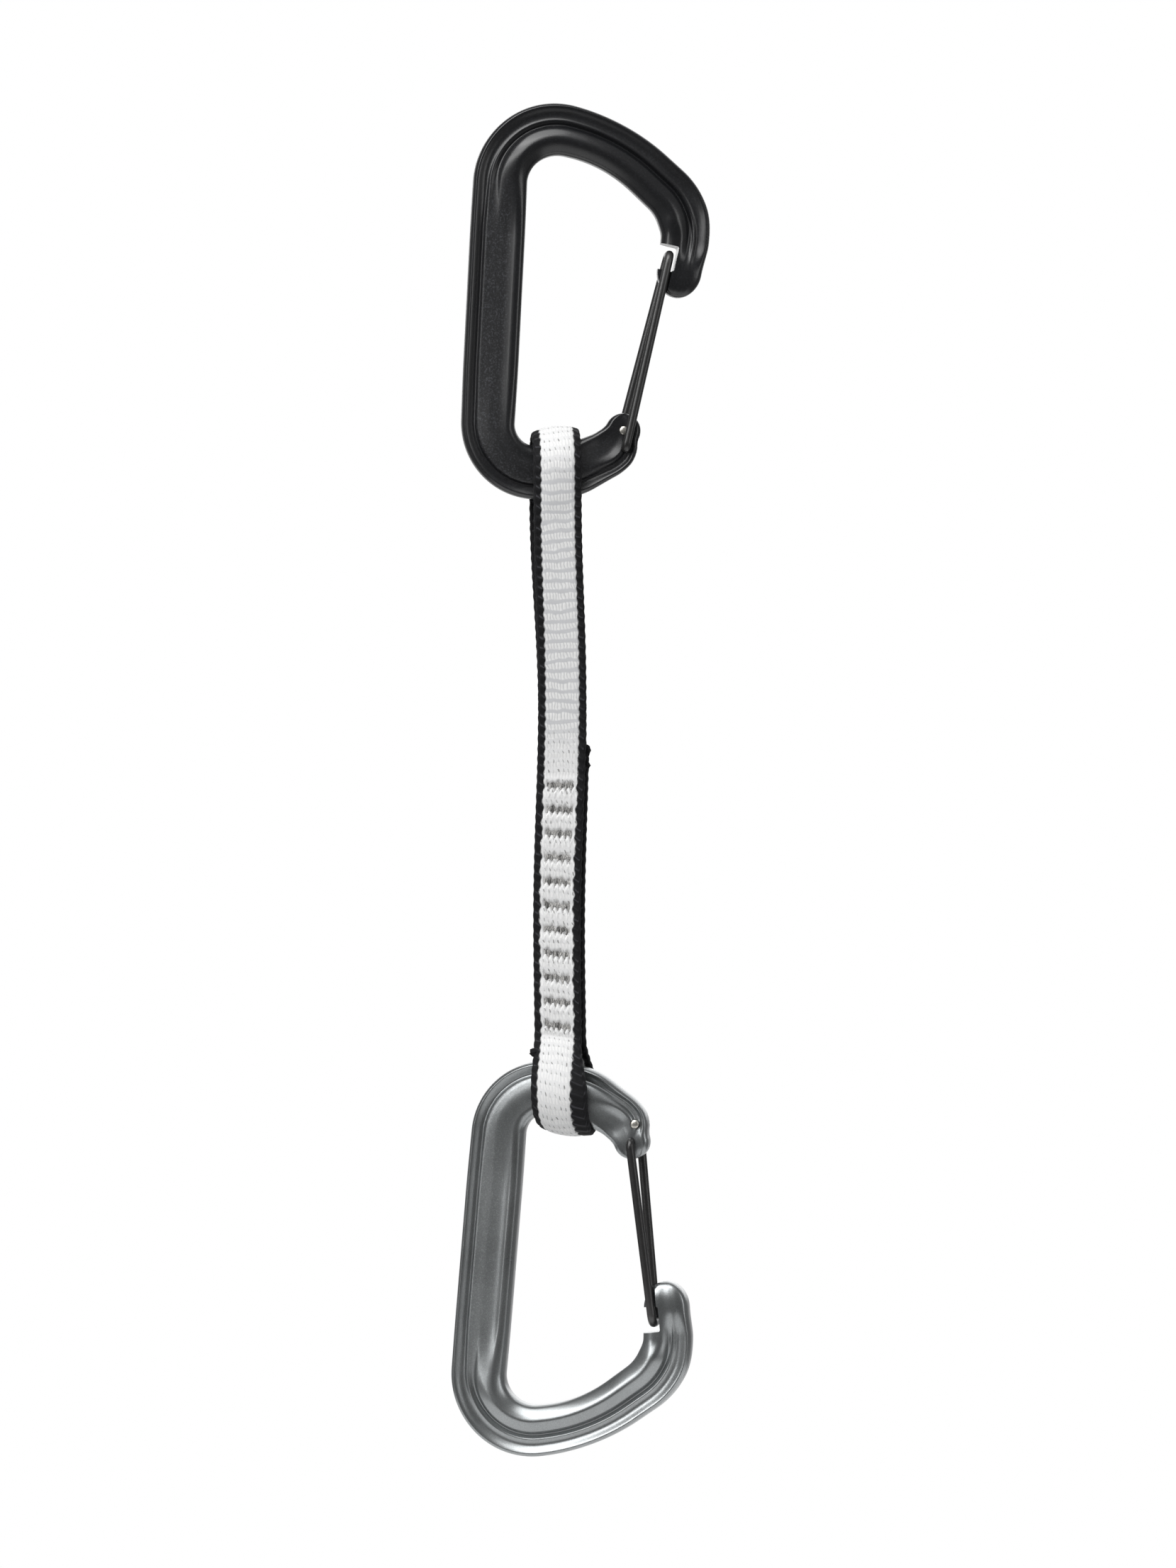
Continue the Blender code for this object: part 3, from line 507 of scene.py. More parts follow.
def closed_spline(control, steps):
    """Quadratic B-spline round a closed row of control points, with some points on each span.

    On a span the weights of the points before, at and after it are (1-u)2/2, (1+2u-2u2)/2 and u2/2.
    """
    along = np.arange(steps) / steps
    weights = np.stack([(1.0 - along) ** 2, 1.0 + 2.0 * along - 2.0 * along ** 2, along ** 2], axis=1) / 2
    near = np.stack([np.roll(control, 1, axis=1), control, np.roll(control, -1, axis=1)], axis=2)
    spans = np.einsum("nkjc,sj->nksc", near, weights)
    return spans.reshape(len(control), -1, control.shape[-1])


def tube_rings(points, first, second, radius, angles):
    """Circles of points about a path: point + r (first cos a + second sin a)."""
    circle = first[:, None] * np.cos(angles)[:, None] + second[:, None] * np.sin(angles)[:, None]
    return points[:, None] + circle * np.reshape(radius, (-1, 1, 1))


def polygon_volume(points):
    """Six times the signed volume between the origin and flat polygons, each cut into a fan."""
    return np.sum(points[:, :1] * np.cross(points[:, 1:-1], points[:, 2:]))


def shade(mesh, sharp):
    """Shades a mesh as smooth, with edges sharp past an angle."""
    mesh.shade_smooth()
    mesh.set_sharp_from_angle(angle=math.radians(sharp))


def solid_mesh(name, rings, values=None, sharp=PLAIN_SHARP):
    """Closed skin over a row of rings: quads between neighbours and one flat face on each end.

    The faces are turned over where the volume that they enclose comes out negative. Values for the points
    may be one for all, one for each ring in a column, one for each place round the rings, or a full grid.
    """
    rows, around = rings.shape[:2]
    points = rings.reshape(-1, 3)
    index = np.arange(rows * around).reshape(rows, around)
    after = np.roll(index, -1, axis=1)
    quads = np.stack([index[:-1], after[:-1], after[1:], index[1:]], axis=-1).reshape(-1, 4)
    ends = np.stack([index[0, ::-1], index[-1]])
    if polygon_volume(points[quads]) + polygon_volume(points[ends]) < 0.0:
        quads = quads[:, ::-1]
        ends = ends[:, ::-1]
    mesh = bpy.data.meshes.new(name)
    mesh.from_pydata(points.tolist(), [], quads.tolist() + ends.tolist())
    for label, value in (values or {}).items():
        attribute = mesh.attributes.new(label, "FLOAT", "POINT")
        attribute.data.foreach_set("value", np.broadcast_to(value, (rows, around)).astype(np.float32).ravel())
    shade(mesh, sharp)
    return mesh


def add_object(name, mesh, material=None):
    """A mesh put into the scene, with its material."""
    item = bpy.data.objects.new(name, mesh)
    bpy.context.scene.collection.objects.link(item)
    if material:
        mesh.materials.append(material)
    return item


def cut_away(item, cutters):
    """Cuts each cutter from a piece, in order, and removes the cutters."""
    for cutter in cutters:
        cut = item.modifiers.new(cutter.name, "BOOLEAN")
        cut.operation = "DIFFERENCE"
        cut.solver = "MANIFOLD"
        cut.object = cutter
    graph = bpy.context.evaluated_depsgraph_get()
    whole = item.data
    item.data = bpy.data.meshes.new_from_object(item.evaluated_get(graph), depsgraph=graph)
    item.modifiers.clear()
    if len(item.data.vertices) < len(whole.vertices) / 2:
        raise RuntimeError("Cutting " + item.name + " lost most of it")
    bpy.data.meshes.remove(whole)
    for cutter in cutters:
        mesh = cutter.data
        bpy.data.objects.remove(cutter)
        bpy.data.meshes.remove(mesh)
    shade(item.data, FRAME_SHARP)


# Node helpers

class Value:
    """A number, place or colour that a node gives, with the arithmetic that adds further nodes."""

    def __init__(self, tree, socket):
        self.tree = tree
        self.socket = socket

    def maths(self, operation, second=0.0):
        """This value joined to a second one by a maths node."""
        return add_node(self.tree, "ShaderNodeMath", {0: self, 1: second}, operation=operation)

    def __add__(self, other):
        return self.maths("ADD", other)

    def __mul__(self, other):
        return self.maths("MULTIPLY", other)

    def larger(self, other):
        """The larger of this value and another."""
        return self.maths("MAXIMUM", other)

    def part(self):
        """What is left of this value past its whole number."""
        return self.maths("FRACT")

    def cosine(self):
        """Cosine ripple from -1 to 1, once for each whole number."""
        return (self * FULL_TURN).maths("COSINE")

    def spread(self, low, high, to_low=0.0, to_high=1.0):
        """The range from low to high mapped to another range, smoothly and clamped at both ends."""
        inputs = {"Value": self, "From Min": low, "From Max": high, "To Min": to_low, "To Max": to_high}
        return add_node(self.tree, "ShaderNodeMapRange", inputs, interpolation_type="SMOOTHSTEP")

    def noise(self, scale, detail, roughness=0.5):
        """Cloudy noise at this place, with its scale in clouds to the metre."""
        inputs = {"Vector": self, "Scale": scale, "Detail": detail, "Roughness": roughness}
        return add_node(self.tree, "ShaderNodeTexNoise", inputs)

    def relief(self, strength, depth):
        """The surface's direction, tilted as this height's slope tilts it."""
        inputs = {"Height": self, "Strength": strength, "Distance": depth}
        return add_node(self.tree, "ShaderNodeBump", inputs)

    def fade(self, first, second):
        """The first colour where this value is 0 and the second where it is 1."""
        return mixed_colours(self.tree, {0: self, 6: first, 7: second}, "MIX")

    def tinted(self, tone):
        """This colour times a tone."""
        return mixed_colours(self.tree, {0: 1.0, 6: self, 7: tone}, "MULTIPLY")


def mixed_colours(tree, inputs, mode):
    """The colour output of a new mixing node."""
    return add_node(tree, "ShaderNodeMix", inputs, 2, data_type="RGBA", blend_type=mode)


def add_node(tree, kind, inputs, output=0, **settings):
    """One output of a new node with its settings and inputs."""
    node = tree.nodes.new(kind)
    for label, value in settings.items():
        setattr(node, label, value)
    set_inputs(node, inputs)
    return Value(tree, node.outputs[output])


def set_inputs(node, inputs):
    """Sets a node's inputs to plain values or joins them to other nodes' values."""
    for label, value in inputs.items():
        if isinstance(value, Value):
            value.tree.links.new(value.socket, node.inputs[label])
        else:
            node.inputs[label].default_value = value


def attribute_value(tree, name):
    """A mesh's own value at each of its points."""
    return add_node(tree, "ShaderNodeAttribute", {}, "Fac", attribute_name=name)


def object_place(tree):
    """The place on a piece, in metres."""
    return add_node(tree, "ShaderNodeTexCoord", {}, "Object")


def ray_is(tree, kind):
    """1 for rays of a kind and 0 for all others."""
    return add_node(tree, "ShaderNodeLightPath", {}, "Is " + kind + " Ray")


def solid(rgb, level=1.0):
    """A colour times a level, opaque."""
    return (rgb[0] * level, rgb[1] * level, rgb[2] * level, 1.0)


def new_material(name):
    """A new material, with its tree and its shader."""
    material = bpy.data.materials.new(name)
    material.use_nodes = True
    return material, material.node_tree, material.node_tree.nodes["Principled BSDF"]


# Finishes

def anodised(name, rgb, metallic, roughness, coarseness, specular, painted_sparkle):
    """Satin anodised aluminium: fine speckle, coarser on the grained bands, where lighter flecks are painted
    as sparkle, slowly clouded.
    """
    material, tree, shader = new_material(name)
    place = object_place(tree)
    grain = attribute_value(tree, "grain")
    speckle = place.noise(6500.0, 2.0, 0.6)
    coarse = place.noise(2600.0, 3.0, 0.65)
    cloud = place.noise(70.0, 3.0)
    # Painted sparkle: lighter flecks of the base colour on the grained bands stand in for the glints of the
    # blasted grain
    light = coarse.spread(0.46, 0.72) * grain.spread(0.0, 1.0, 0.1, 0.7)
    tone = speckle.spread(0.35, 0.75, 0.85, 1.2) * cloud.spread(0.3, 0.7, 0.94, 1.06)
    height = speckle * 0.5 + coarse * (grain + 0.4)
    set_inputs(shader, {
        "Base Color": light.fade(solid(rgb), solid(rgb, painted_sparkle)).tinted(tone),
        "Roughness": cloud.spread(0.3, 0.7, roughness - 0.02, roughness + 0.02) + grain * coarseness,
        "Metallic": metallic, "Specular IOR Level": specular, "Normal": height.relief(0.3, 0.00004),
    })
    return material


def drawn_wire(rgb, bare):
    """Dark satin spring wire, faintly mottled and rubbed paler near its tip, with bare bright ends."""
    material, tree, shader = new_material("gate_wire")
    ends = attribute_value(tree, "bare")
    mottle = object_place(tree).noise(500.0, 3.0).spread(0.35, 0.7)
    dark = mottle.fade(solid(rgb, 0.9), solid(rgb, 1.1))
    worn = (attribute_value(tree, "rubbed") * 0.6).fade(dark, solid(rgb, 4.5))
    set_inputs(shader, {
        "Base Color": ends.fade(worn, solid(bare)), "Roughness": 0.33, "Metallic": ends * 0.9,
        "Specular IOR Level": 0.75,
    })
    return material


def woven(finish, sizes):
    """Flat webbing: slanting warp floats on each rib, painted shade as a soft grey band between, slits near
    loops filled with painted shade, dark edges.

    The floats are a cosine ripple across the strip, let through on the bright part of each rib. The slits are
    the peaks of a wider ripple, at the foot of each rib. Noise makes both wander.
    """
    material, tree, shader = new_material("woven_webbing")
    along = attribute_value(tree, "along")
    across = attribute_value(tree, "across")
    opened = attribute_value(tree, "open")
    place = add_node(tree, "ShaderNodeCombineXYZ", {"X": along, "Y": across})
    stretched = add_node(tree, "ShaderNodeMapping", {"Vector": place, "Scale": (0.2, 1.0, 1.0)})
    wander = place.noise(380.0, 2.0)
    gaps = place.noise(900.0, 1.0)
    fibre = stretched.noise(9000.0, 3.0, 0.6)
    row = (attribute_value(tree, "row") + wander * 0.5).part()

    ripple = (across * (1.0 / sizes.column_pitch) + row * 0.5 + wander * 1.4).cosine()
    # Painted shade: the band between each rib's floats takes the shaded yarn colour for the shade in the
    # weave's valleys; near the loops, where the weave lies open, and on the teeth below bar tacks, the white
    # floats take over
    shown = row.spread(0.18, 0.42) * row.spread(0.80, 1.0, 1.0, 0.0)
    floats = shown * ripple.spread(-1.0, -0.2, 0.3, 1.0)
    bright = floats.larger(opened * 0.68) * fibre.spread(0.25, 0.65, 0.9, 1.0)
    bright = bright.larger(attribute_value(tree, "tooth"))

    foot = row.maths("MINIMUM", row * -1.0 + 1.0)
    parted = (across * (1.0 / sizes.slit_pitch) + (row + 0.5).part() * 0.55 + wander * 0.9).cosine()
    slit = foot.spread(0.08, 0.24, 1.0, 0.0) * parted.spread(0.55, 0.95) * gaps.spread(0.35, 0.65, 0.15, 0.75)
    # Painted shade: slits near the loops, and the dents and holes that the hole value gives, are darkened
    # towards the painted dark shade colour
    hole = (slit * opened).larger(attribute_value(tree, "hole"))
    white = bright.fade(solid(finish.shaded_yarn), solid(finish.white_yarn))
    white = hole.fade(white, solid(finish.painted_dark_shade))

    stroke = (across * (1.0 / FLECK_PITCH) + row).part().maths("SUBTRACT", 0.5).maths("ABSOLUTE")
    marks = stroke.spread(0.05, 0.12, 1.0, 0.0) * wander.spread(0.4, 0.6, 0.2, 1.0)
    flecks = marks.larger(fibre.spread(0.6, 0.9, 0.0, 0.7))
    black = flecks.fade(solid(finish.black_yarn), solid(finish.black_yarn, 6.0))
    height = ripple * shown + fibre * 0.6
    set_inputs(shader, {
        "Base Color": attribute_value(tree, "selvedge").fade(white, black), "Roughness": 0.75,
        "Specular IOR Level": 0.22, "Sheen Weight": 0.03, "Normal": height.relief(0.35, 0.00008),
    })
    return material


def stitched(rgb, twist_length):
    """Twisted sewing thread: mottled, with strands as a slanting sine painted darker between them as shade,
    and painted shade where it dives into the cloth and on darkened strokes.
    """
    material, tree, shader = new_material("stitching_thread")
    turns = attribute_value(tree, "along") * (FULL_TURN / twist_length) + attribute_value(tree, "around")
    twist = turns.maths("SINE")
    mottle = object_place(tree).noise(1300.0, 3.0)
    # Painted shade: the strands' slanting sine darkens the thread between them; the mottle is a random tone
    tone = twist.spread(-1.0, 1.0, 0.7, 1.0) * mottle.spread(0.3, 0.7, 0.2, 1.0)
    lit = tone.fade(solid(rgb, 0.4), solid(rgb, 1.15))
    set_inputs(shader, {
        # Painted shade: the sunk value darkens the thread where it dives into the cloth and on darkened
        # strokes
        "Base Color": attribute_value(tree, "sunk").fade(lit, solid(rgb, 0.12)),
        "Roughness": 0.7, "Specular IOR Level": 0.25, "Normal": twist.relief(0.5, 0.00004),
    })
    return material


# Carabiner frames

def middle_lines(sizes):
    """Heights of the bar's middle at the basket and the small end, and its distance from spine to nose."""
    top = sizes.frame_length / 2 - sizes.basket_width / 2
    bottom = sizes.small_end_width / 2 - sizes.frame_length / 2
    side = sizes.frame_width - sizes.spine_width / 2 - sizes.nose_width / 2
    return top, bottom, side


def frame_corners(sizes):
    """Corners of the bar's centreline, across and up, from the nose round to the hinge eye."""
    top, bottom, side = middle_lines(sizes)
    lines = [(side, top)] * 3 + [(0.0, top)] + [(0.0, bottom)] * 2 + [(side, bottom)] * 2
    offsets = (sizes.nose_end, sizes.nose_corner, sizes.crown_corner, sizes.shoulder_corner,
               sizes.heel_corner, sizes.toe_corner, sizes.arm_corner, sizes.eye)
    return np.array(lines) + np.array([tuple(pair) for pair in offsets])


def upright(place):
    """A place across and up, set in the upright plane: (x, z) to (x, 0, z)."""
    return np.array([place[0], 0.0, place[1]])


def gate_places(sizes, gate):
    """Front pin, rear pin and wire tip in the carabiner's own frame."""
    top, _, side = middle_lines(sizes)
    rear_pin = upright(frame_corners(sizes)[-1])
    front_pin = rear_pin + upright((gate.pin_lean, -gate.pin_spacing))
    tip = upright((side + gate.tip[0], top + gate.tip[1]))
    return front_pin, rear_pin, tip


class Hanging:
    """Where one carabiner hangs, found from its two pins' joints.

    The line from pin to pin and the pins' own direction give two axes in each frame, and a third across them.
    """

    def __init__(self, side, sizes, gate):
        front = JOINTS[side + "_gate_hinge"]
        rear = JOINTS[side + "_rear_hinge"]
        front_pin, rear_pin, _ = gate_places(sizes, gate)
        self.pivot = front_pin
        self.position = np.array(front["pos_m"])
        own = self.axes(rear_pin - front_pin, THICKNESS_AXIS)
        hung = self.axes(np.array(rear["pos_m"]) - self.position, -np.array(front["axis"]))
        self.turn = hung.T @ own

    @staticmethod
    def axes(line, pin):
        """Three directions: the line's, the pin's, and the one across both."""
        return np.stack([unit(line), unit(pin), unit(np.cross(line, pin))])

    def place(self, points):
        """Points turned about the pivot, and moved with it to where it hangs."""
        return (points - self.pivot) @ self.turn.T + self.position


def softened(rows, pull, reach):
    """Rows of points drawn by a pull towards their average over a reach of rows on each side."""
    total = np.cumsum(np.pad(rows, ((reach + 1, reach), (0, 0), (0, 0)), mode="edge"), axis=0)
    average = (total[2 * reach + 1:] - total[:-2 * reach - 1]) / (2 * reach + 1)
    return rows + (average - rows) * pull[:, :, None]


def frame_rings(sizes):
    """Rings of points round the bar: a spline section carried along the bent centreline.

    Each section point goes outward by its share of the bar's width and across the plane by its height. Past
    each end the section draws in by the cosine, and the height by a root of it, as the sine moves it on. The
    hinge arm's bend is averaged along the bar, in full on the inner quarter of its width and not at all on
    the outer quarter.
    """
    bends = (sizes.nose_bend, sizes.crown_bend, sizes.shoulder_bend,
             sizes.heel_bend, sizes.toe_bend, sizes.hinge_arm_bend)
    points, directions, distances, middles = bent_path(frame_corners(sizes), bends, sizes.step)
    nose, crown, shoulder, heel, toe, arm = middles
    end_width = sizes.nose_end_width
    groove_width = eased(np.array([sizes.groove_start]), [0.0, nose], [end_width, sizes.nose_width])[0]
    names, stops, widths = zip(
        ("nose tip", 0.0, end_width),
        ("nose", sizes.groove_start, groove_width),
        ("basket", nose, sizes.nose_width),
        ("basket", crown, sizes.crown_width),
        ("basket", shoulder, sizes.basket_width),
        ("spine", shoulder + sizes.spine_ease, sizes.spine_width),
        ("spine", heel - sizes.spine_ease, sizes.spine_width),
        ("small end", heel, sizes.small_end_width),
        ("small end", toe, sizes.small_end_width),
        ("hinge arm", arm, sizes.hinge_arm_width),
        ("eye", distances[-1], sizes.eye_diameter),
    )
    outlines = np.array([SECTIONS[name] for name in names])
    outlines[:, :, 0] = outlines[:, :, 0] / outlines[:, -1:, 0] - 0.5
    outlines[:, :, 1] *= MILLIMETRE
    width = eased(distances, stops, widths)
    face = eased(distances, stops, outlines)
    other_face = face[:, ::-1] * np.array([1.0, -1.0, 1.0])
    section = closed_spline(np.concatenate([face, other_face], axis=1), sizes.section_steps)

    number = np.arange(-sizes.tip_steps, len(points) + sizes.tip_steps)
    spot = np.clip(number, 0, len(points) - 1)
    angle = np.radians(FRAME_END_TURN / sizes.tip_steps * (number - spot))
    squeeze = np.cos(angle)
    shift = np.sin(angle) * np.where(number < 0, sizes.nose_tip_length, sizes.eye_diameter / 2)
    section = section[spot]
    ahead = directions[spot]
    middle = points[spot] + ahead * shift[:, None]
    across = section[:, :, 0] * (width[spot] * squeeze)[:, None]
    plane = middle[:, None] - turned_left(ahead)[:, None] * across[:, :, None]
    inner = smooth_step(0.5 - 2.0 * section[:, :, 0]) * (number == spot)[:, None]
    plane = softened(plane, inner * bump(distances[spot] - arm, sizes.arm_ease)[:, None], sizes.arm_rings)
    height = section[:, :, 1] * (squeeze ** sizes.tip_rounding)[:, None]
    rings = np.stack([plane[:, :, 0], height, plane[:, :, 1]], axis=2)
    return rings, section[:, :, 2]


def rounded_outline(place, along, wide, tall, radius, corner_steps=5):
    """Oblong with round corners, between limits across and along a direction in the upright plane."""
    away = np.array([along[2], 0.0, -along[0]])
    quarter = np.radians(np.linspace(0.0, 90.0, corner_steps))
    angles = np.concatenate([quarter + FULL_TURN / 4 * number for number in range(4)])
    signs = np.repeat([[1, 1], [-1, 1], [-1, -1], [1, -1]], corner_steps, axis=0)
    middle = np.mean([wide, tall], axis=1)
    half = np.ptp([wide, tall], axis=1) / 2 - radius
    flat = middle + signs * half + radius * np.stack([np.cos(angles), np.sin(angles)], axis=1)
    return place + flat @ np.stack([away, along])


def prism(name, outline, start, end):
    """An outline in the upright plane carried straight across the thickness."""
    rings = np.stack([outline + THICKNESS_AXIS * start, outline + THICKNESS_AXIS * end])
    return add_object(name, solid_mesh(name, rings))


def frame_cutters(sizes, gate):
    """Pin holes, the notch round the wire's tip, and pockets for its legs beside the lip."""
    front_pin, rear_pin, tip = gate_places(sizes, gate)
    radius = gate.wire_diameter / 2
    hole = radius + gate.pin_gap
    cutters = []
    for label, pin in (("front", front_pin), ("rear", rear_pin)):
        bore = rounded_outline(pin, upright((0.0, 1.0)), (-hole, hole), (-hole, hole), hole, 9)
        cutters.append(prism(label + "_pin_hole", bore, -sizes.eye_thickness, sizes.eye_thickness))

    along = unit(tip - front_pin)
    front = -sizes.nose_width
    back = radius + gate.clearance
    tall = (-gate.notch_below, gate.notch_above)
    notch = rounded_outline(tip, along, (front, back + gate.notch_extra), tall, gate.notch_corner)
    cutters.append(prism("notch", notch, -sizes.nose_thickness, sizes.nose_thickness))
    top = -gate.notch_below / 2
    tall = (top - gate.notch_below - 2 * sizes.nose_tip_length, top)
    pocket = rounded_outline(tip, along, (front, back), tall, gate.notch_corner)
    for sense in (-1.0, 1.0):
        lip = sense * gate.nose_lip / 2
        cutters.append(prism("leg_pocket", pocket, lip, lip + sense * sizes.nose_thickness))
    return cutters


def add_frame(side, sizes, gate, material):
    """One frame: skinned, cut, and moved to where it hangs."""
    rings, grain = frame_rings(sizes)
    name = side + "_frame_surface"
    piece = add_object(name, solid_mesh(name, rings, {"grain": grain}), material)
    cut_away(piece, frame_cutters(sizes, gate))
    points = np.empty(len(piece.data.vertices) * 3)
    piece.data.vertices.foreach_get("co", points)
    hung = Hanging(side, sizes, gate).place(points.reshape(-1, 3))
    piece.data.vertices.foreach_set("co", hung.ravel())
    piece.data.update()
    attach(piece, side + "_carabiner")
    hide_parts(side + "_frame")
    return piece


# Gate wires

def add_wire(name, corners, bends, gate, hung, tip, material):
    """A round wire along a bent path: circles of points about it, drawn in over a low dome at its first end.

    The circles' first axis is the across direction less its part along the wire. Rubbing fades by a bell
    curve away from the tip.
    """
    points, directions = bent_path(corners, bends, gate.step)[:2]
    spot = np.maximum(np.arange(-PIN_END_RINGS, len(points)), 0)
    angle = np.radians(np.interp(np.arange(len(spot)), [0, PIN_END_RINGS], [PIN_END_TURN, 0.0]))
    directions = directions[spot]
    points = points[spot] - directions * gate.dome * np.sin(angle)[:, None]
    first = unit(ACROSS_AXIS - (directions @ ACROSS_AXIS)[:, None] * directions)
    second = np.cross(directions, first)
    radius = gate.wire_diameter / 2 * np.cos(angle)
    rings = tube_rings(points, first, second, radius, round_angles(gate.ring_points))
    rubbed = bump(np.linalg.norm(points - tip, axis=1), gate.rubbed_reach)
    values = {"bare": (spot == 0)[:, None], "rubbed": rubbed[:, None]}
    return add_object(name, solid_mesh(name, hung.place(rings), values), material)


def add_gate(side, sizes, gate, material):
    """The wire in two pieces: the rear pin with its leg as far as the bend's end, and all the rest."""
    front_pin, rear_pin, tip = gate_places(sizes, gate)
    radius = gate.wire_diameter / 2
    pin_end = THICKNESS_AXIS * (sizes.eye_thickness / 2 - gate.pin_recess)
    eye_leg = THICKNESS_AXIS * (sizes.eye_thickness / 2 + gate.clearance + radius)
    nose_leg = THICKNESS_AXIS * (gate.nose_lip / 2 + gate.clearance + radius)
    loop_bend = min(nose_leg[1], 2 * radius)
    rear_elbow = rear_pin + eye_leg
    rear_tip = tip + nose_leg
    up_leg = unit(rear_tip - rear_elbow)
    joint = rear_elbow + up_leg * (gate.bend_start + gate.bend_length)
    hung = Hanging(side, sizes, gate)

    corners = [front_pin + pin_end, front_pin - eye_leg, tip - nose_leg, rear_tip, joint]
    bends = [gate.wire_bend, loop_bend, loop_bend]
    wire = add_wire(side + "_gate_wire_surface", corners, bends, gate, hung, tip, material)
    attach(wire, side + "_gate")
    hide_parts(side + "_gate_wire")

    corners = [rear_pin - pin_end, rear_elbow, joint]
    leg = add_wire(side + "_gate_rear_leg", corners, [gate.wire_bend], gate, hung, tip, material)
    start, end = hung.place(np.stack([rear_elbow + up_leg * gate.bend_start, joint]))
    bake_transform(leg)
    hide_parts(side + "_gate_rear_pin")
    return wire, leg


# Sling

class SlingLine:
    """The strap's middle line between the two loops' joints, with its width turning on the way.

    A place is a distance down the sling, a distance out from the middle and a distance sideways.
    """

    def __init__(self, sizes):
        upper = JOINTS["upper_loop_swing"]
        lower = JOINTS["lower_loop_swing"]
        self.sizes = sizes
        self.upper = np.array(upper["pos_m"])
        self.run = np.array(lower["pos_m"]) - self.upper
        self.span = -self.run[2]
        axes = np.array([upper["axis"], lower["axis"]])
        self.turns = np.arctan2(axes[:, 1], axes[:, 0])
        self.rolls = np.arcsin(axes[:, 2])
        self.loop_radius = sizes.loop_cavity / 2 + sizes.thickness / 2
        self.loop_reach = self.loop_radius + sizes.thickness / 2
        self.layer_pitch = sizes.thickness + sizes.layer_gap
        self.lap_end = self.span - sizes.lap_from_loop
        self.lap_start = self.lap_end - sizes.lap_length
        rows = (sizes.tack_count - 1) * sizes.tack_pitch
        first = (self.lap_start + self.lap_end - rows) / 2
        self.tacks = first + np.arange(sizes.tack_count) * sizes.tack_pitch
        margin = sizes.tack_margin + sizes.layer_bend / 2
        self.sewn_start = first - margin
        self.sewn_end = first + rows + margin

    def axes(self, along):
        """Middle, width direction and outward direction at distances down the sling.

        The width turns and rolls by the cubic step from loop to loop. The middle sways by the two inner terms
        of a cubic Bezier curve.
        """
        part = smooth_step((along - self.loop_reach) / (self.span - 2 * self.loop_reach))
        turn = self.turns[0] + (self.turns[1] - self.turns[0]) * part
        roll = self.rolls[0] + (self.rolls[1] - self.rolls[0]) * part
        across = np.stack([np.cos(roll) * np.cos(turn), np.cos(roll) * np.sin(turn), np.sin(roll)], axis=-1)
        outward = unit(np.cross(across, self.run))
        rest = 1.0 - part
        middle = self.upper + self.run * (along / self.span)[..., None]
        middle[..., 0] += 3.0 * rest * part * (rest * self.sizes.sway_above + part * self.sizes.sway_below)
        return middle, across, outward

    def place(self, along, out, sideways):
        """Points: the middle, plus out times outward, plus sideways times across."""
        middle, across, outward = self.axes(along)
        return middle + outward * out[..., None] + across * sideways[..., None]

    def near_lower(self, path):
        """How near the lower loop places lie: the cubic step from the seam's end to the loop's middle."""
        return smooth_step((path[:, :1] - self.sewn_end) / (self.span - self.sewn_end))

    def leave_angle(self, sewn, out, side):
        """Angle about a loop's middle where the strap leaves on a tangent for the seam."""
        return side * math.acos(self.loop_radius / math.hypot(sewn, out)) + math.atan2(out, sewn)

    def loop_point(self, middle, toward, angle):
        """A place on a loop's circle: r cos a from its middle towards the sling, and r sin a out."""
        radius = self.loop_radius
        return np.stack([middle + toward * radius * np.cos(angle), radius * np.sin(angle)], axis=-1)

    def loop_arc(self, middle, toward, start, end):
        """The strap's round turn about a loop's middle, the long way round, without its ends."""
        sweep = math.copysign(FULL_TURN - abs(end - start), start - end)
        steps = math.ceil(abs(sweep) * self.loop_radius / self.sizes.step)
        return self.loop_point(middle, toward, start + sweep * np.arange(1, steps) / steps)

    def strip(self):
        """Side view of the strip in three lengths, each a row of distances down and out.

        From the cut end inside the lap to the back of the lower loop, from there up the front to the back of
        the upper loop, and from there down the back to the other cut end.
        """
        bend = self.sizes.layer_bend
        step = self.sizes.step
        pitch = self.layer_pitch
        below = self.span - self.sewn_end
        inside_angle = self.leave_angle(below, 0.0, 1.0)
        lower_front = self.leave_angle(below, -pitch, -1.0)
        upper_front = self.leave_angle(self.sewn_start, -pitch, -1.0)
        upper_back = self.leave_angle(self.sewn_start, pitch, 1.0)
        inside_leave = self.loop_point(self.span, -1.0, inside_angle)
        splay = unit(inside_leave - np.array([self.sewn_end, 0.0]))
        tail = np.array([self.sewn_end + pitch * (splay[0] - 1.0) / splay[1], pitch])
        cut_end = tail + splay * (self.lap_end - tail[0]) / splay[0]

        corners = [(self.lap_start, 0.0), (self.sewn_end, 0.0), inside_leave]
        inside = bent_path(corners, [bend], step)[0]
        lower_arc = self.loop_arc(self.span, -1.0, inside_angle, lower_front)
        corners = [self.loop_point(self.span, -1.0, lower_front), (self.sewn_end, -pitch),
                   (self.sewn_start, -pitch), self.loop_point(0.0, 1.0, upper_front)]
        front = bent_path(corners, [bend, bend], step)[0]
        upper_arc = self.loop_arc(0.0, 1.0, upper_front, upper_back)
        corners = [self.loop_point(0.0, 1.0, upper_back), (self.sewn_start, pitch), tail, cut_end]
        back = bent_path(corners, [bend, bend - pitch], step)[0]
        lower_back = np.argmax(lower_arc[:, 1]) + 1
        upper_rear = np.argmax(upper_arc[:, 1]) + 1
        return (
            np.concatenate([inside, lower_arc[:lower_back]]),
            np.concatenate([lower_arc[lower_back - 1:], front, upper_arc[:upper_rear]]),
            np.concatenate([upper_arc[upper_rear - 1:], back]),
        )


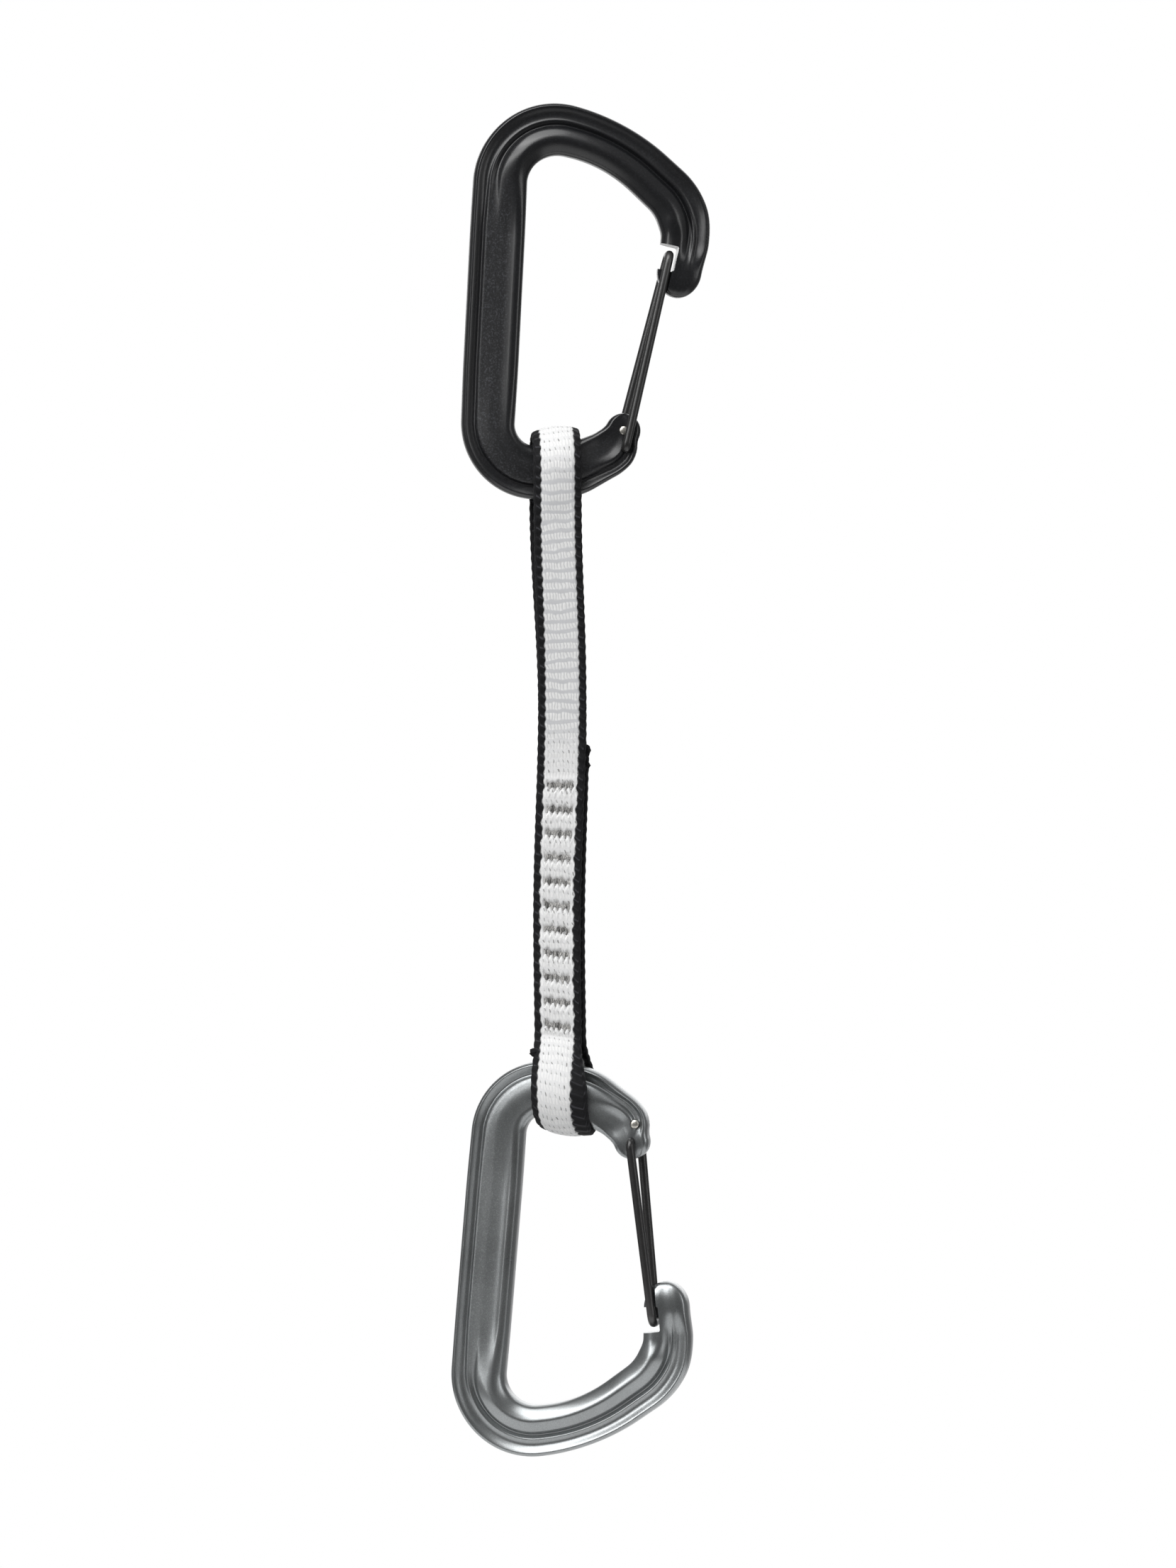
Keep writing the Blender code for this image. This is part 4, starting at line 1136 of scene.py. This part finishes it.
def add_woven(name, rings, values, material):
    """A piece of the webbing, whose holes' painted shade, teeth and slits are none unless its values give
    them.
    """
    values = {"hole": 0.0, "tooth": 0.0, "open": 0.0, **values}
    piece = add_object(name, solid_mesh(name, rings, values), material)
    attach(piece, "sling")
    return piece


def webbing_section(sizes):
    """Points round the strip: sideways place, and height as a share of the half-thickness."""
    flat = sizes.width / 2 - sizes.edge
    face = np.linspace(-flat, flat, sizes.face_points)
    angle = np.radians(np.linspace(90.0, -90.0, sizes.edge_points + 2)[1:-1])
    rim = flat + sizes.edge * np.cos(angle)
    ones = np.ones(sizes.face_points)
    sideways = np.concatenate([face, rim, face[::-1], -rim[::-1]])
    lift = np.concatenate([ones, np.sin(angle), -ones, np.sin(angle)[::-1]])
    return sideways, lift


def weave(sizes, travelled, sideways, swell):
    """Relief of the weave, at most 0, with the rib that each place lies on and how dark its yarn is.

    Ribs are counted along the strip, with two slow sines that make them uneven. Each is a cosine ripple, high
    on its floats. Outside a wavy line, moved out by a swell, the yarn is dark and beaded, half a rib on, with
    a groove along it. The valleys are a power of the ripple, which keeps them narrow.
    """
    uneven = sum(np.sin(travelled / along + sideways / across) for along, across in RIB_SINES)
    row = travelled / sizes.row_pitch + sizes.row_sway * uneven
    floats = wave(row - FLOATS_AT)
    line = sizes.width / 2 - sizes.selvedge + sizes.scallop * (2.0 * floats - 1.0) + swell
    beyond = np.abs(sideways) - line
    dark = smooth_step(beyond / sizes.selvedge_blend + 0.5)
    middle = sizes.rib_depth * (1.0 - floats) ** VALLEY_POWER
    edge = sizes.bead_depth * floats ** VALLEY_POWER
    groove = sizes.selvedge_groove * bump(beyond, sizes.selvedge_furrow)
    return -(middle * (1.0 - dark) + edge * dark + groove), row, dark


def tooth_phase(number):
    """Where a bar tack's teeth start, as a share of their distance, different on each bar tack."""
    return 0.5 + TOOTH_MOVE * number


def needle_holes(sizes, number):
    """Sideways places and strengths of a bar tack's needle holes, each changed by a sine of its own."""
    for hole, (place, weight) in enumerate(NEEDLE_HOLES):
        sway, fade = [np.sin(by_tack * number + by_hole * hole) for by_tack, by_hole in HOLE_PHASES]
        strength = weight * (1.0 - HOLE_FADE + HOLE_FADE * fade)
        yield (place + HOLE_SWAY * sway) * sizes.tack_length, strength


def seam_relief(line, along, sideways):
    """Relief, painted shade and bright floats on a sewn face, where the seam lies, and how far its edges
    swell.

    Each bar tack draws in a band with an uneven top. Its foot is a cosine row of teeth, where floats swell
    out between the stitches. In the band the painted shade is streaked by a ripple and deepened by three
    bells at the needle holes, which also sink the cloth, and the cloth between bar tacks is a cosine pillow.
    """
    sizes = line.sizes
    offsets = along[:, None] - line.tacks
    nearest = np.abs(offsets).argmin(axis=1)[:, None]
    offset = np.take_along_axis(offsets, nearest, axis=1)
    ramp = sizes.layer_bend / 2
    sewn = smooth_step((along - line.sewn_start) / ramp) * smooth_step((line.sewn_end - along) / ramp)
    sewn = sewn[:, None]
    aside = np.abs(sideways)
    inside = smooth_step((sizes.tack_length / 2 + sizes.soft_edge - aside) / sizes.soft_top)
    crest = np.sqrt(wave(sideways / sizes.tooth_pitch + tooth_phase(nearest)))
    uneven = sum(np.sin(sideways / length + move * nearest) for length, move in TOP_SINES)
    top = sizes.tack_uneven * uneven - sizes.tack_height / 2
    foot = sizes.tooth_start + sizes.tooth_height * (1.0 - crest)
    below_top = smooth_step((offset - top) / sizes.soft_top)
    band = below_top * smooth_step((foot - offset) / sizes.soft_edge) * inside
    streak = wave(sideways / sizes.needle_pitch + offset / sizes.tack_height * np.cos(nearest))
    holes = np.zeros_like(band)
    for place, strength in needle_holes(sizes, nearest):
        spot = bump(sideways - place, sizes.needle_hole) * bump(offset, sizes.needle_height)
        holes = np.maximum(holes, strength * spot)
    teeth = sewn * inside * smooth_step((offset - foot) / sizes.soft_edge)
    teeth = teeth * bump(np.maximum(offset - foot - sizes.soft_edge, 0.0), sizes.tooth_height)
    ridge = wave(offset / sizes.tack_pitch)
    pillow = sewn * (1.0 - ridge) * smooth_step((sizes.width / 2 - aside) / sizes.selvedge)
    relief = sizes.pillow * pillow + sizes.tooth_swell * teeth
    relief = relief - sizes.tack_sink * band - sizes.needle_depth * holes
    # Painted shade: the bar tack's dent is darkened, streaked by the needle's ripple, and its needle holes
    # more, but not its teeth
    painted_shade = np.maximum(band * (BAND_SHADE + STREAK_SHADE * streak), holes) * (1.0 - teeth)
    return relief, painted_shade, teeth, sewn, sizes.pinch * sewn * (1.0 - 2.0 * ridge)


def add_webbing(name, line, path, travelled, skew, flare, sewn, material):
    """One length of the strip: its section carried along its side view, lifted by the weave's relief.

    Round a loop the edges curl towards the loop's middle by a power of their distance from the strip's
    middle. Only a sewn length shows the seam, on its outer face.
    """
    sizes = line.sizes
    sideways, lift = webbing_section(sizes)
    aside = np.abs(sideways) / (sizes.width / 2)
    outer_face = sewn * (lift == 1.0)
    seam, hole, tooth, seam_share, swell = seam_relief(line, path[:, 0], sideways)
    relief, row, dark = weave(sizes, travelled[:, None], sideways, sewn * swell)
    relief = relief * (1.0 - SEAM_FLATTENS * seam_share * outer_face) + seam * outer_face
    height = lift * (sizes.thickness / 2 + relief)
    out = turned_left(unit(np.gradient(path, axis=0)))
    spot = path[:, None] + out[:, None] * height[:, :, None]

    opened = sewn * smooth_step((path[:, 0] - line.lap_start) / sizes.flat_reach + 1.0)
    above_loop = smooth_step(0.5 - path[:, 0] / line.loop_radius)
    for middle, parting in ((0.0, above_loop), (line.span, 1.0)):
        inward = np.array([middle, 0.0]) - path
        near = smooth_step((CURL_REACH - np.linalg.norm(inward, axis=1) / line.loop_radius) / CURL_FADE)
        curl = sizes.loop_crown * near[:, None] * (aside ** CURL_POWER - CURL_BALANCE)
        spot = spot + unit(inward)[:, None] * curl[:, :, None]
        opened = np.maximum(opened, near * parting)

    rim = np.sign(sideways) * smooth_step((aside - RIM_START) / (1.0 - RIM_START))
    bumps = rim * sizes.edge_bump * (1.0 - 2.0 * wave(row - FLOATS_AT))
    flared = flare * smooth_step((sideways - sizes.width / 2 + sizes.selvedge) / sizes.selvedge)
    rings = line.place(spot[:, :, 0], spot[:, :, 1], sideways + bumps + flared + skew)
    # The hole value carries the seam's painted shade, on the outer face only
    return add_woven(name, rings, {
        "row": row, "selvedge": dark, "hole": hole * outer_face, "tooth": tooth * outer_face,
        "open": opened[:, None], "along": travelled[:, None], "across": sideways + FACES_APART * lift,
    }, material)


def add_cut_end(name, line, path, skew, overhang, material):
    """The melted bead on a cut end: a lumpy tube across the strip, with a round knob past each edge.

    Its radius is a root of a power curve that closes both ends, with a bell at each knob, times a mean of
    ripples round and along it.
    """
    sizes = line.sizes
    half = sizes.width / 2 + overhang
    sideways = np.linspace(-half, half, MELT_RINGS)[:, None]
    turn = round_angles(MELT_AROUND)
    phases = np.random.default_rng(MELT_SEED).uniform(0.0, 1.0, len(MELT_LENGTHS))
    ripple = np.full((MELT_RINGS, MELT_AROUND), -0.5)
    for number, (length, phase) in enumerate(zip(MELT_LENGTHS, phases)):
        ripple += wave(sideways / length + phase + turn / FULL_TURN * (number % MELT_TWISTS)) / len(phases)
    knob = overhang * bump(half - np.abs(sideways) - sizes.melt_radius, sizes.melt_radius)
    close = np.sqrt(np.clip(1.0 - (sideways / half) ** MELT_POWER, 0.0, 1.0))
    radius = (sizes.melt_radius + MELT_KNOB * knob) * (1.0 + MELT_DEPTH * ripple) * close
    radius = np.maximum(radius, sizes.melt_radius * MELT_LEAST)[:, :, None]
    ahead = unit(path[-1] - path[-2])
    spot = path[-1] + radius * (np.cos(turn)[:, None] * ahead + np.sin(turn)[:, None] * turned_left(ahead))
    rings = line.place(spot[:, :, 0], spot[:, :, 1], sideways + skew)
    dark = smooth_step((np.abs(sideways) - sizes.width / 2 + sizes.selvedge) / sizes.soft_edge)
    add_woven(name, rings, {
        "row": 0.0, "selvedge": dark, "hole": MELT_SHADE, "along": radius[:, :, 0] * MELT_STRETCH,
        "across": sideways,
    }, material)


def add_tuft(name, line, place, length, thickness, material):
    """A frayed lump of dark yarn: an oval ball, its radius rippled by two sines round and along it.

    Its place is a distance down the sling, a distance out and a distance sideways.
    """
    polar = np.radians(np.linspace(*TUFT_POLES, TUFT_RINGS))[:, None]
    turn = round_angles(TUFT_AROUND)
    ripple = 1.0 + sum(depth * np.sin(around * turn + along * polar) for depth, around, along in TUFT_RIPPLES)
    radius = thickness / 2 * ripple * np.sin(polar)
    down = place[0] + length / 2 * np.cos(polar)
    rings = line.place(down, place[1] + radius * np.sin(turn), place[2] + radius * np.cos(turn))
    values = {"row": TUFT_ROW * ripple, "selvedge": 1.0, "along": down, "across": radius}
    add_woven(name, rings, values, material)


def add_tack(number, line, material):
    """A bar tack: one zigzag thread on each face, its strokes arching over the dent that it draws in.

    The thread goes across at a steady rate and up and down as a triangle wave, down to the gaps between the
    teeth and up to uneven ends. Its height is a half sine over each stroke, sunk at the stroke's ends.
    """
    sizes = line.sizes
    random = np.random.default_rng(TACK_SEED + number)
    label = f"bar_tack_{number + 1:02d}"
    phase = tooth_phase(number)
    most = math.ceil(4 * sizes.tack_length / sizes.tooth_pitch)
    quarters = np.arange(-most, most + 1)
    turns = 0.5 - math.fmod(phase, 1.0) + 0.25 * quarters
    kept = np.abs(turns * sizes.tooth_pitch) <= sizes.tack_length / 2
    turns = turns[kept]
    strokes = len(turns) - 1
    foot = sizes.tooth_start + STROKE_REACH * sizes.tooth_height * (1.0 - wave(turns + phase))
    ends = np.where(quarters[kept] % 2 == 0, foot, -sizes.tack_height / 2)
    steps = np.arange(strokes * STROKE_POINTS + 1) / STROKE_POINTS
    stroke = np.minimum(steps.astype(int), strokes - 1)
    arch = np.sin(np.pi * (steps - stroke))
    surface = line.layer_pitch + sizes.thickness / 2 - sizes.tack_sink
    out = surface + sizes.thread_diameter * (arch - THREAD_SINK)
    angles = round_angles(THREAD_AROUND)
    for face, sense in (("front", -1.0), ("back", 1.0)):
        heights = ends * random.uniform(*STROKE_ENDS, len(turns))
        # Painted shade: some strokes are darkened at random, and more where they cross the needle holes
        stroke_shade = STROKE_SHADE * smooth_step(random.uniform(-1.0, 1.0, strokes))
        scatter = random.normal(0.0, sizes.thread_diameter * STROKE_SCATTER, len(turns))
        places = turns * sizes.tooth_pitch + scatter
        middles = (places[:-1] + places[1:]) / 2
        for hole, strength in needle_holes(sizes, number):
            stroke_shade = np.maximum(stroke_shade, strength * bump(middles - hole, sizes.needle_hole))
        down = line.tacks[number] + np.interp(steps, np.arange(len(turns)), heights)
        points = line.place(down, sense * out, np.interp(steps, np.arange(len(turns)), places))
        moves = np.gradient(points, axis=0)
        directions = unit(moves)
        side = unit(np.cross(directions, line.axes(down)[2] * sense))
        rings = tube_rings(points, side, np.cross(side, directions), sizes.thread_diameter / 2, angles)
        values = {
            "along": np.cumsum(np.linalg.norm(moves, axis=1))[:, None],
            "around": angles,
            # The sunk value is painted shade: dark at the stroke's ends, where the thread dives in, and on
            # the darkened strokes
            "sunk": np.maximum(bump(arch, STROKE_DIVE), stroke_shade[stroke])[:, None],
        }
        name = label + "_" + face
        piece = add_object(name, solid_mesh(name, rings, values, THREAD_SHARP), material)
        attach(piece, "sling")
    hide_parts(label)


# Stage

def add_softbox(name, location, target, width, height, power):
    """An oblong lamp, turned to a target, that the camera doesn't see."""
    lamp = bpy.data.lights.new(name, "AREA")
    lamp.shape = "RECTANGLE"
    lamp.size = width
    lamp.size_y = height
    lamp.energy = power
    item = bpy.data.objects.new(name, lamp)
    item.location = location
    item.visible_camera = False
    item.rotation_mode = "QUATERNION"
    item.rotation_quaternion = (Vector(target) - item.location).to_track_quat("-Z", "Y")
    bpy.context.scene.collection.objects.link(item)


def add_camera(stage):
    """A level camera, whose lens is its sensor times its distance over the height it takes in."""
    camera = bpy.data.cameras.new("photo_camera")
    camera.sensor_width = 36.0
    camera.lens = camera.sensor_width * stage.distance / stage.frame_height
    item = bpy.data.objects.new("photo_camera", camera)
    item.location = (stage.centre_across, -stage.distance, stage.centre_up)
    item.rotation_euler = (math.radians(90.0), 0.0, 0.0)
    bpy.context.scene.collection.objects.link(item)
    bpy.context.scene.camera = item


def add_floor(stage, rgb):
    """A level oblong below the object, reaching towards the camera, that shows white in reflections."""
    half = stage.floor_size / 2
    front = -stage.floor_reach
    level = CAD_BOX[0][2] - stage.floor_drop
    corners = [(-half, front, level), (half, front, level), (half, half, level), (-half, half, level)]
    mesh = bpy.data.meshes.new("studio_floor")
    mesh.from_pydata(corners, [], [(0, 1, 2, 3)])
    material, tree, shader = new_material("studio_floor")
    set_inputs(shader, {"Base Color": solid(rgb), "Roughness": 0.9})
    white = add_node(tree, "ShaderNodeEmission", {"Color": solid((1.0, 1.0, 1.0)), "Strength": 1.0})
    inputs = {0: ray_is(tree, "Glossy"), 1: Value(tree, shader.outputs[0]), 2: white}
    set_inputs(tree.nodes["Material Output"], {"Surface": add_node(tree, "ShaderNodeMixShader", inputs)})
    add_object("studio_floor", mesh, material)


def add_world(stage):
    """White to the camera, and a soft light on everything else.

    Reflections show white straight behind the object, and a dimmer room on the camera's side of it.
    """
    world = bpy.data.worlds.new("studio")
    bpy.context.scene.world = world
    world.use_nodes = True
    tree = world.node_tree
    mirrored = ray_is(tree, "Glossy")
    direction = add_node(tree, "ShaderNodeTexCoord", {}, "Generated")
    depth = add_node(tree, "ShaderNodeSeparateXYZ", {"Vector": direction}, "Y")
    behind = mirrored * depth.spread(0.88, 0.98)
    before = mirrored * depth.spread(-0.95, -0.3, 1.0, 0.0)
    seen = ray_is(tree, "Camera").larger(ray_is(tree, "Transmission")).larger(behind)
    room = before.spread(0.0, 1.0, stage.ambient, stage.camera_side)
    set_inputs(tree.nodes["Background"], {
        "Color": solid((1.0, 1.0, 1.0)), "Strength": seen.spread(0.0, 1.0, room, 1.0),
    })


# Operators

class QUICKDRAW_OT_frames(bpy.types.Operator):
    """Add the two anodised frames with their grooves, notches and pin holes"""
    bl_idname = "quickdraw.frames"
    bl_label = "Add carabiner frames"

    def execute(self, context):
        scene = context.scene
        finish = scene.quickdraw_finish
        # The sparkle given to each finish is painted: lighter flecks on its grained bands for the glints of
        # the blasted grain
        black = anodised("black_frame", finish.black, metallic=0.0, roughness=0.26, coarseness=0.28,
                         specular=0.65, painted_sparkle=9.0)
        grey = anodised("grey_frame", finish.grey, metallic=0.93, roughness=0.29, coarseness=0.15,
                        specular=0.5, painted_sparkle=1.5)
        finishes = (("black_anodised", black), ("grey_anodised", grey))
        for side, (slot, material) in zip(SIDES, finishes):
            piece = add_frame(side, scene.quickdraw_carabiner, scene.quickdraw_gate, material)
        return {"FINISHED"}


class QUICKDRAW_OT_gates(bpy.types.Operator):
    """Add the two bent wire gates"""
    bl_idname = "quickdraw.gates"
    bl_label = "Add wire gates"

    def execute(self, context):
        scene = context.scene
        material = drawn_wire(scene.quickdraw_finish.wire, scene.quickdraw_finish.bare_steel)
        for side in SIDES:
            for piece in add_gate(side, scene.quickdraw_carabiner, scene.quickdraw_gate, material):
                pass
        return {"FINISHED"}


class QUICKDRAW_OT_webbing(bpy.types.Operator):
    """Add the woven strip, its two loops, its melted ends and its frayed lumps"""
    bl_idname = "quickdraw.webbing"
    bl_label = "Add webbing"

    def execute(self, context):
        line = SlingLine(context.scene.quickdraw_sling)
        sizes = line.sizes
        material = woven(context.scene.quickdraw_finish, sizes)
        inside, front, back = line.strip()
        inner_skew = sizes.lap_skew + (sizes.lower_skew - sizes.lap_skew) * line.near_lower(inside)
        near = line.near_lower(front)
        behind = smooth_step(0.5 + 0.5 * front[:, 1:] / line.loop_radius)
        lengths = (
            ("webbing_inside", inside, inner_skew, 0.0, False),
            ("webbing_front", front, sizes.lower_skew * near * behind,
             sizes.lower_flare * near * (1.0 - behind), True),
            ("webbing_back", back, 0.0, 0.0, True),
        )
        travelled = 0.0
        for name, path, skew, flare, sewn in lengths:
            steps = np.append(0.0, np.linalg.norm(np.diff(path, axis=0), axis=1))
            distances = travelled + np.cumsum(steps)
            travelled = distances[-1]
            piece = add_webbing(name, line, path, distances, skew, flare, sewn, material)
        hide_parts("sling_webbing")
        add_cut_end("webbing_inner_end", line, inside[1::-1], sizes.lap_skew, 0.0, material)
        add_cut_end("webbing_outer_end", line, back[-2:], 0.0, sizes.end_knob, material)

        edge = sizes.width / 2
        frayed = edge + sizes.lap_skew - sizes.thickness * FRAY_INSIDE
        in_front = front[front[:, 1] < 0.0]
        knot_out = in_front[np.abs(in_front[:, 0] - line.lap_end).argmin(), 1]
        upper_place = (line.lap_start - sizes.upper_fray / 2, 0.0, frayed)
        lower_place = (line.lap_start + sizes.lower_fray, 0.0, frayed)
        knot_place = (line.lap_end, knot_out, sizes.knot * KNOT_INSIDE - edge)
        add_tuft("webbing_upper_tuft", line, upper_place, sizes.upper_fray, sizes.thickness, material)
        add_tuft("webbing_lower_tuft", line, lower_place, sizes.lower_fray, sizes.thickness, material)
        add_tuft("webbing_knotted_tuft", line, knot_place, sizes.knot, sizes.knot, material)
        return {"FINISHED"}


class QUICKDRAW_OT_stitching(bpy.types.Operator):
    """Add the bar tacks, as zigzag thread on both faces"""
    bl_idname = "quickdraw.stitching"
    bl_label = "Add stitching"

    def execute(self, context):
        line = SlingLine(context.scene.quickdraw_sling)
        material = stitched(context.scene.quickdraw_finish.thread, line.sizes.thread_twist)
        for number in range(line.sizes.tack_count):
            add_tack(number, line, material)
        return {"FINISHED"}


class QUICKDRAW_OT_stage(bpy.types.Operator):
    """Add the camera, the studio lights and the floor"""
    bl_idname = "quickdraw.stage"
    bl_label = "Add stage"

    def execute(self, context):
        stage = context.scene.quickdraw_stage
        context.scene.view_settings.view_transform = "Standard"
        add_camera(stage)
        add_world(stage)
        add_floor(stage, context.scene.quickdraw_finish.floor)
        for name, (location, width, height, power) in SOFTBOXES.items():
            add_softbox(name, location, (0.0, 0.0, stage.centre_up), width, height, power)
        return {"FINISHED"}


class QUICKDRAW_PT_panel(bpy.types.Panel):
    """Lists the quickdraw's pieces in the sidebar"""
    bl_idname = "QUICKDRAW_PT_panel"
    bl_label = "Quickdraw"
    bl_space_type = "VIEW_3D"
    bl_region_type = "UI"
    bl_category = "Quickdraw"

    def draw(self, context):
        for operator in OPERATORS:
            self.layout.operator(operator.bl_idname)


PROPERTIES = {
    "quickdraw_carabiner": QuickdrawCarabiner,
    "quickdraw_gate": QuickdrawGate,
    "quickdraw_sling": QuickdrawSling,
    "quickdraw_finish": QuickdrawFinish,
    "quickdraw_stage": QuickdrawStage,
}
OPERATORS = (
    QUICKDRAW_OT_frames,
    QUICKDRAW_OT_gates,
    QUICKDRAW_OT_webbing,
    QUICKDRAW_OT_stitching,
    QUICKDRAW_OT_stage,
)
CLASSES = (*PROPERTIES.values(), *OPERATORS, QUICKDRAW_PT_panel)


def register():
    """Registers the classes and gives the scene its groups of sizes."""
    for kind in CLASSES:
        bpy.utils.register_class(kind)
    for name, group in PROPERTIES.items():
        setattr(bpy.types.Scene, name, bpy.props.PointerProperty(type=group))


def unregister():
    """Takes the groups and the classes away again."""
    for name in PROPERTIES:
        delattr(bpy.types.Scene, name)
    for kind in reversed(CLASSES):
        bpy.utils.unregister_class(kind)


def main():
    """Adds every piece in order."""
    register()
    bpy.ops.quickdraw.frames()
    bpy.ops.quickdraw.gates()
    bpy.ops.quickdraw.webbing()
    bpy.ops.quickdraw.stitching()
    bpy.ops.quickdraw.stage()


if __name__ == "__main__":
    main()
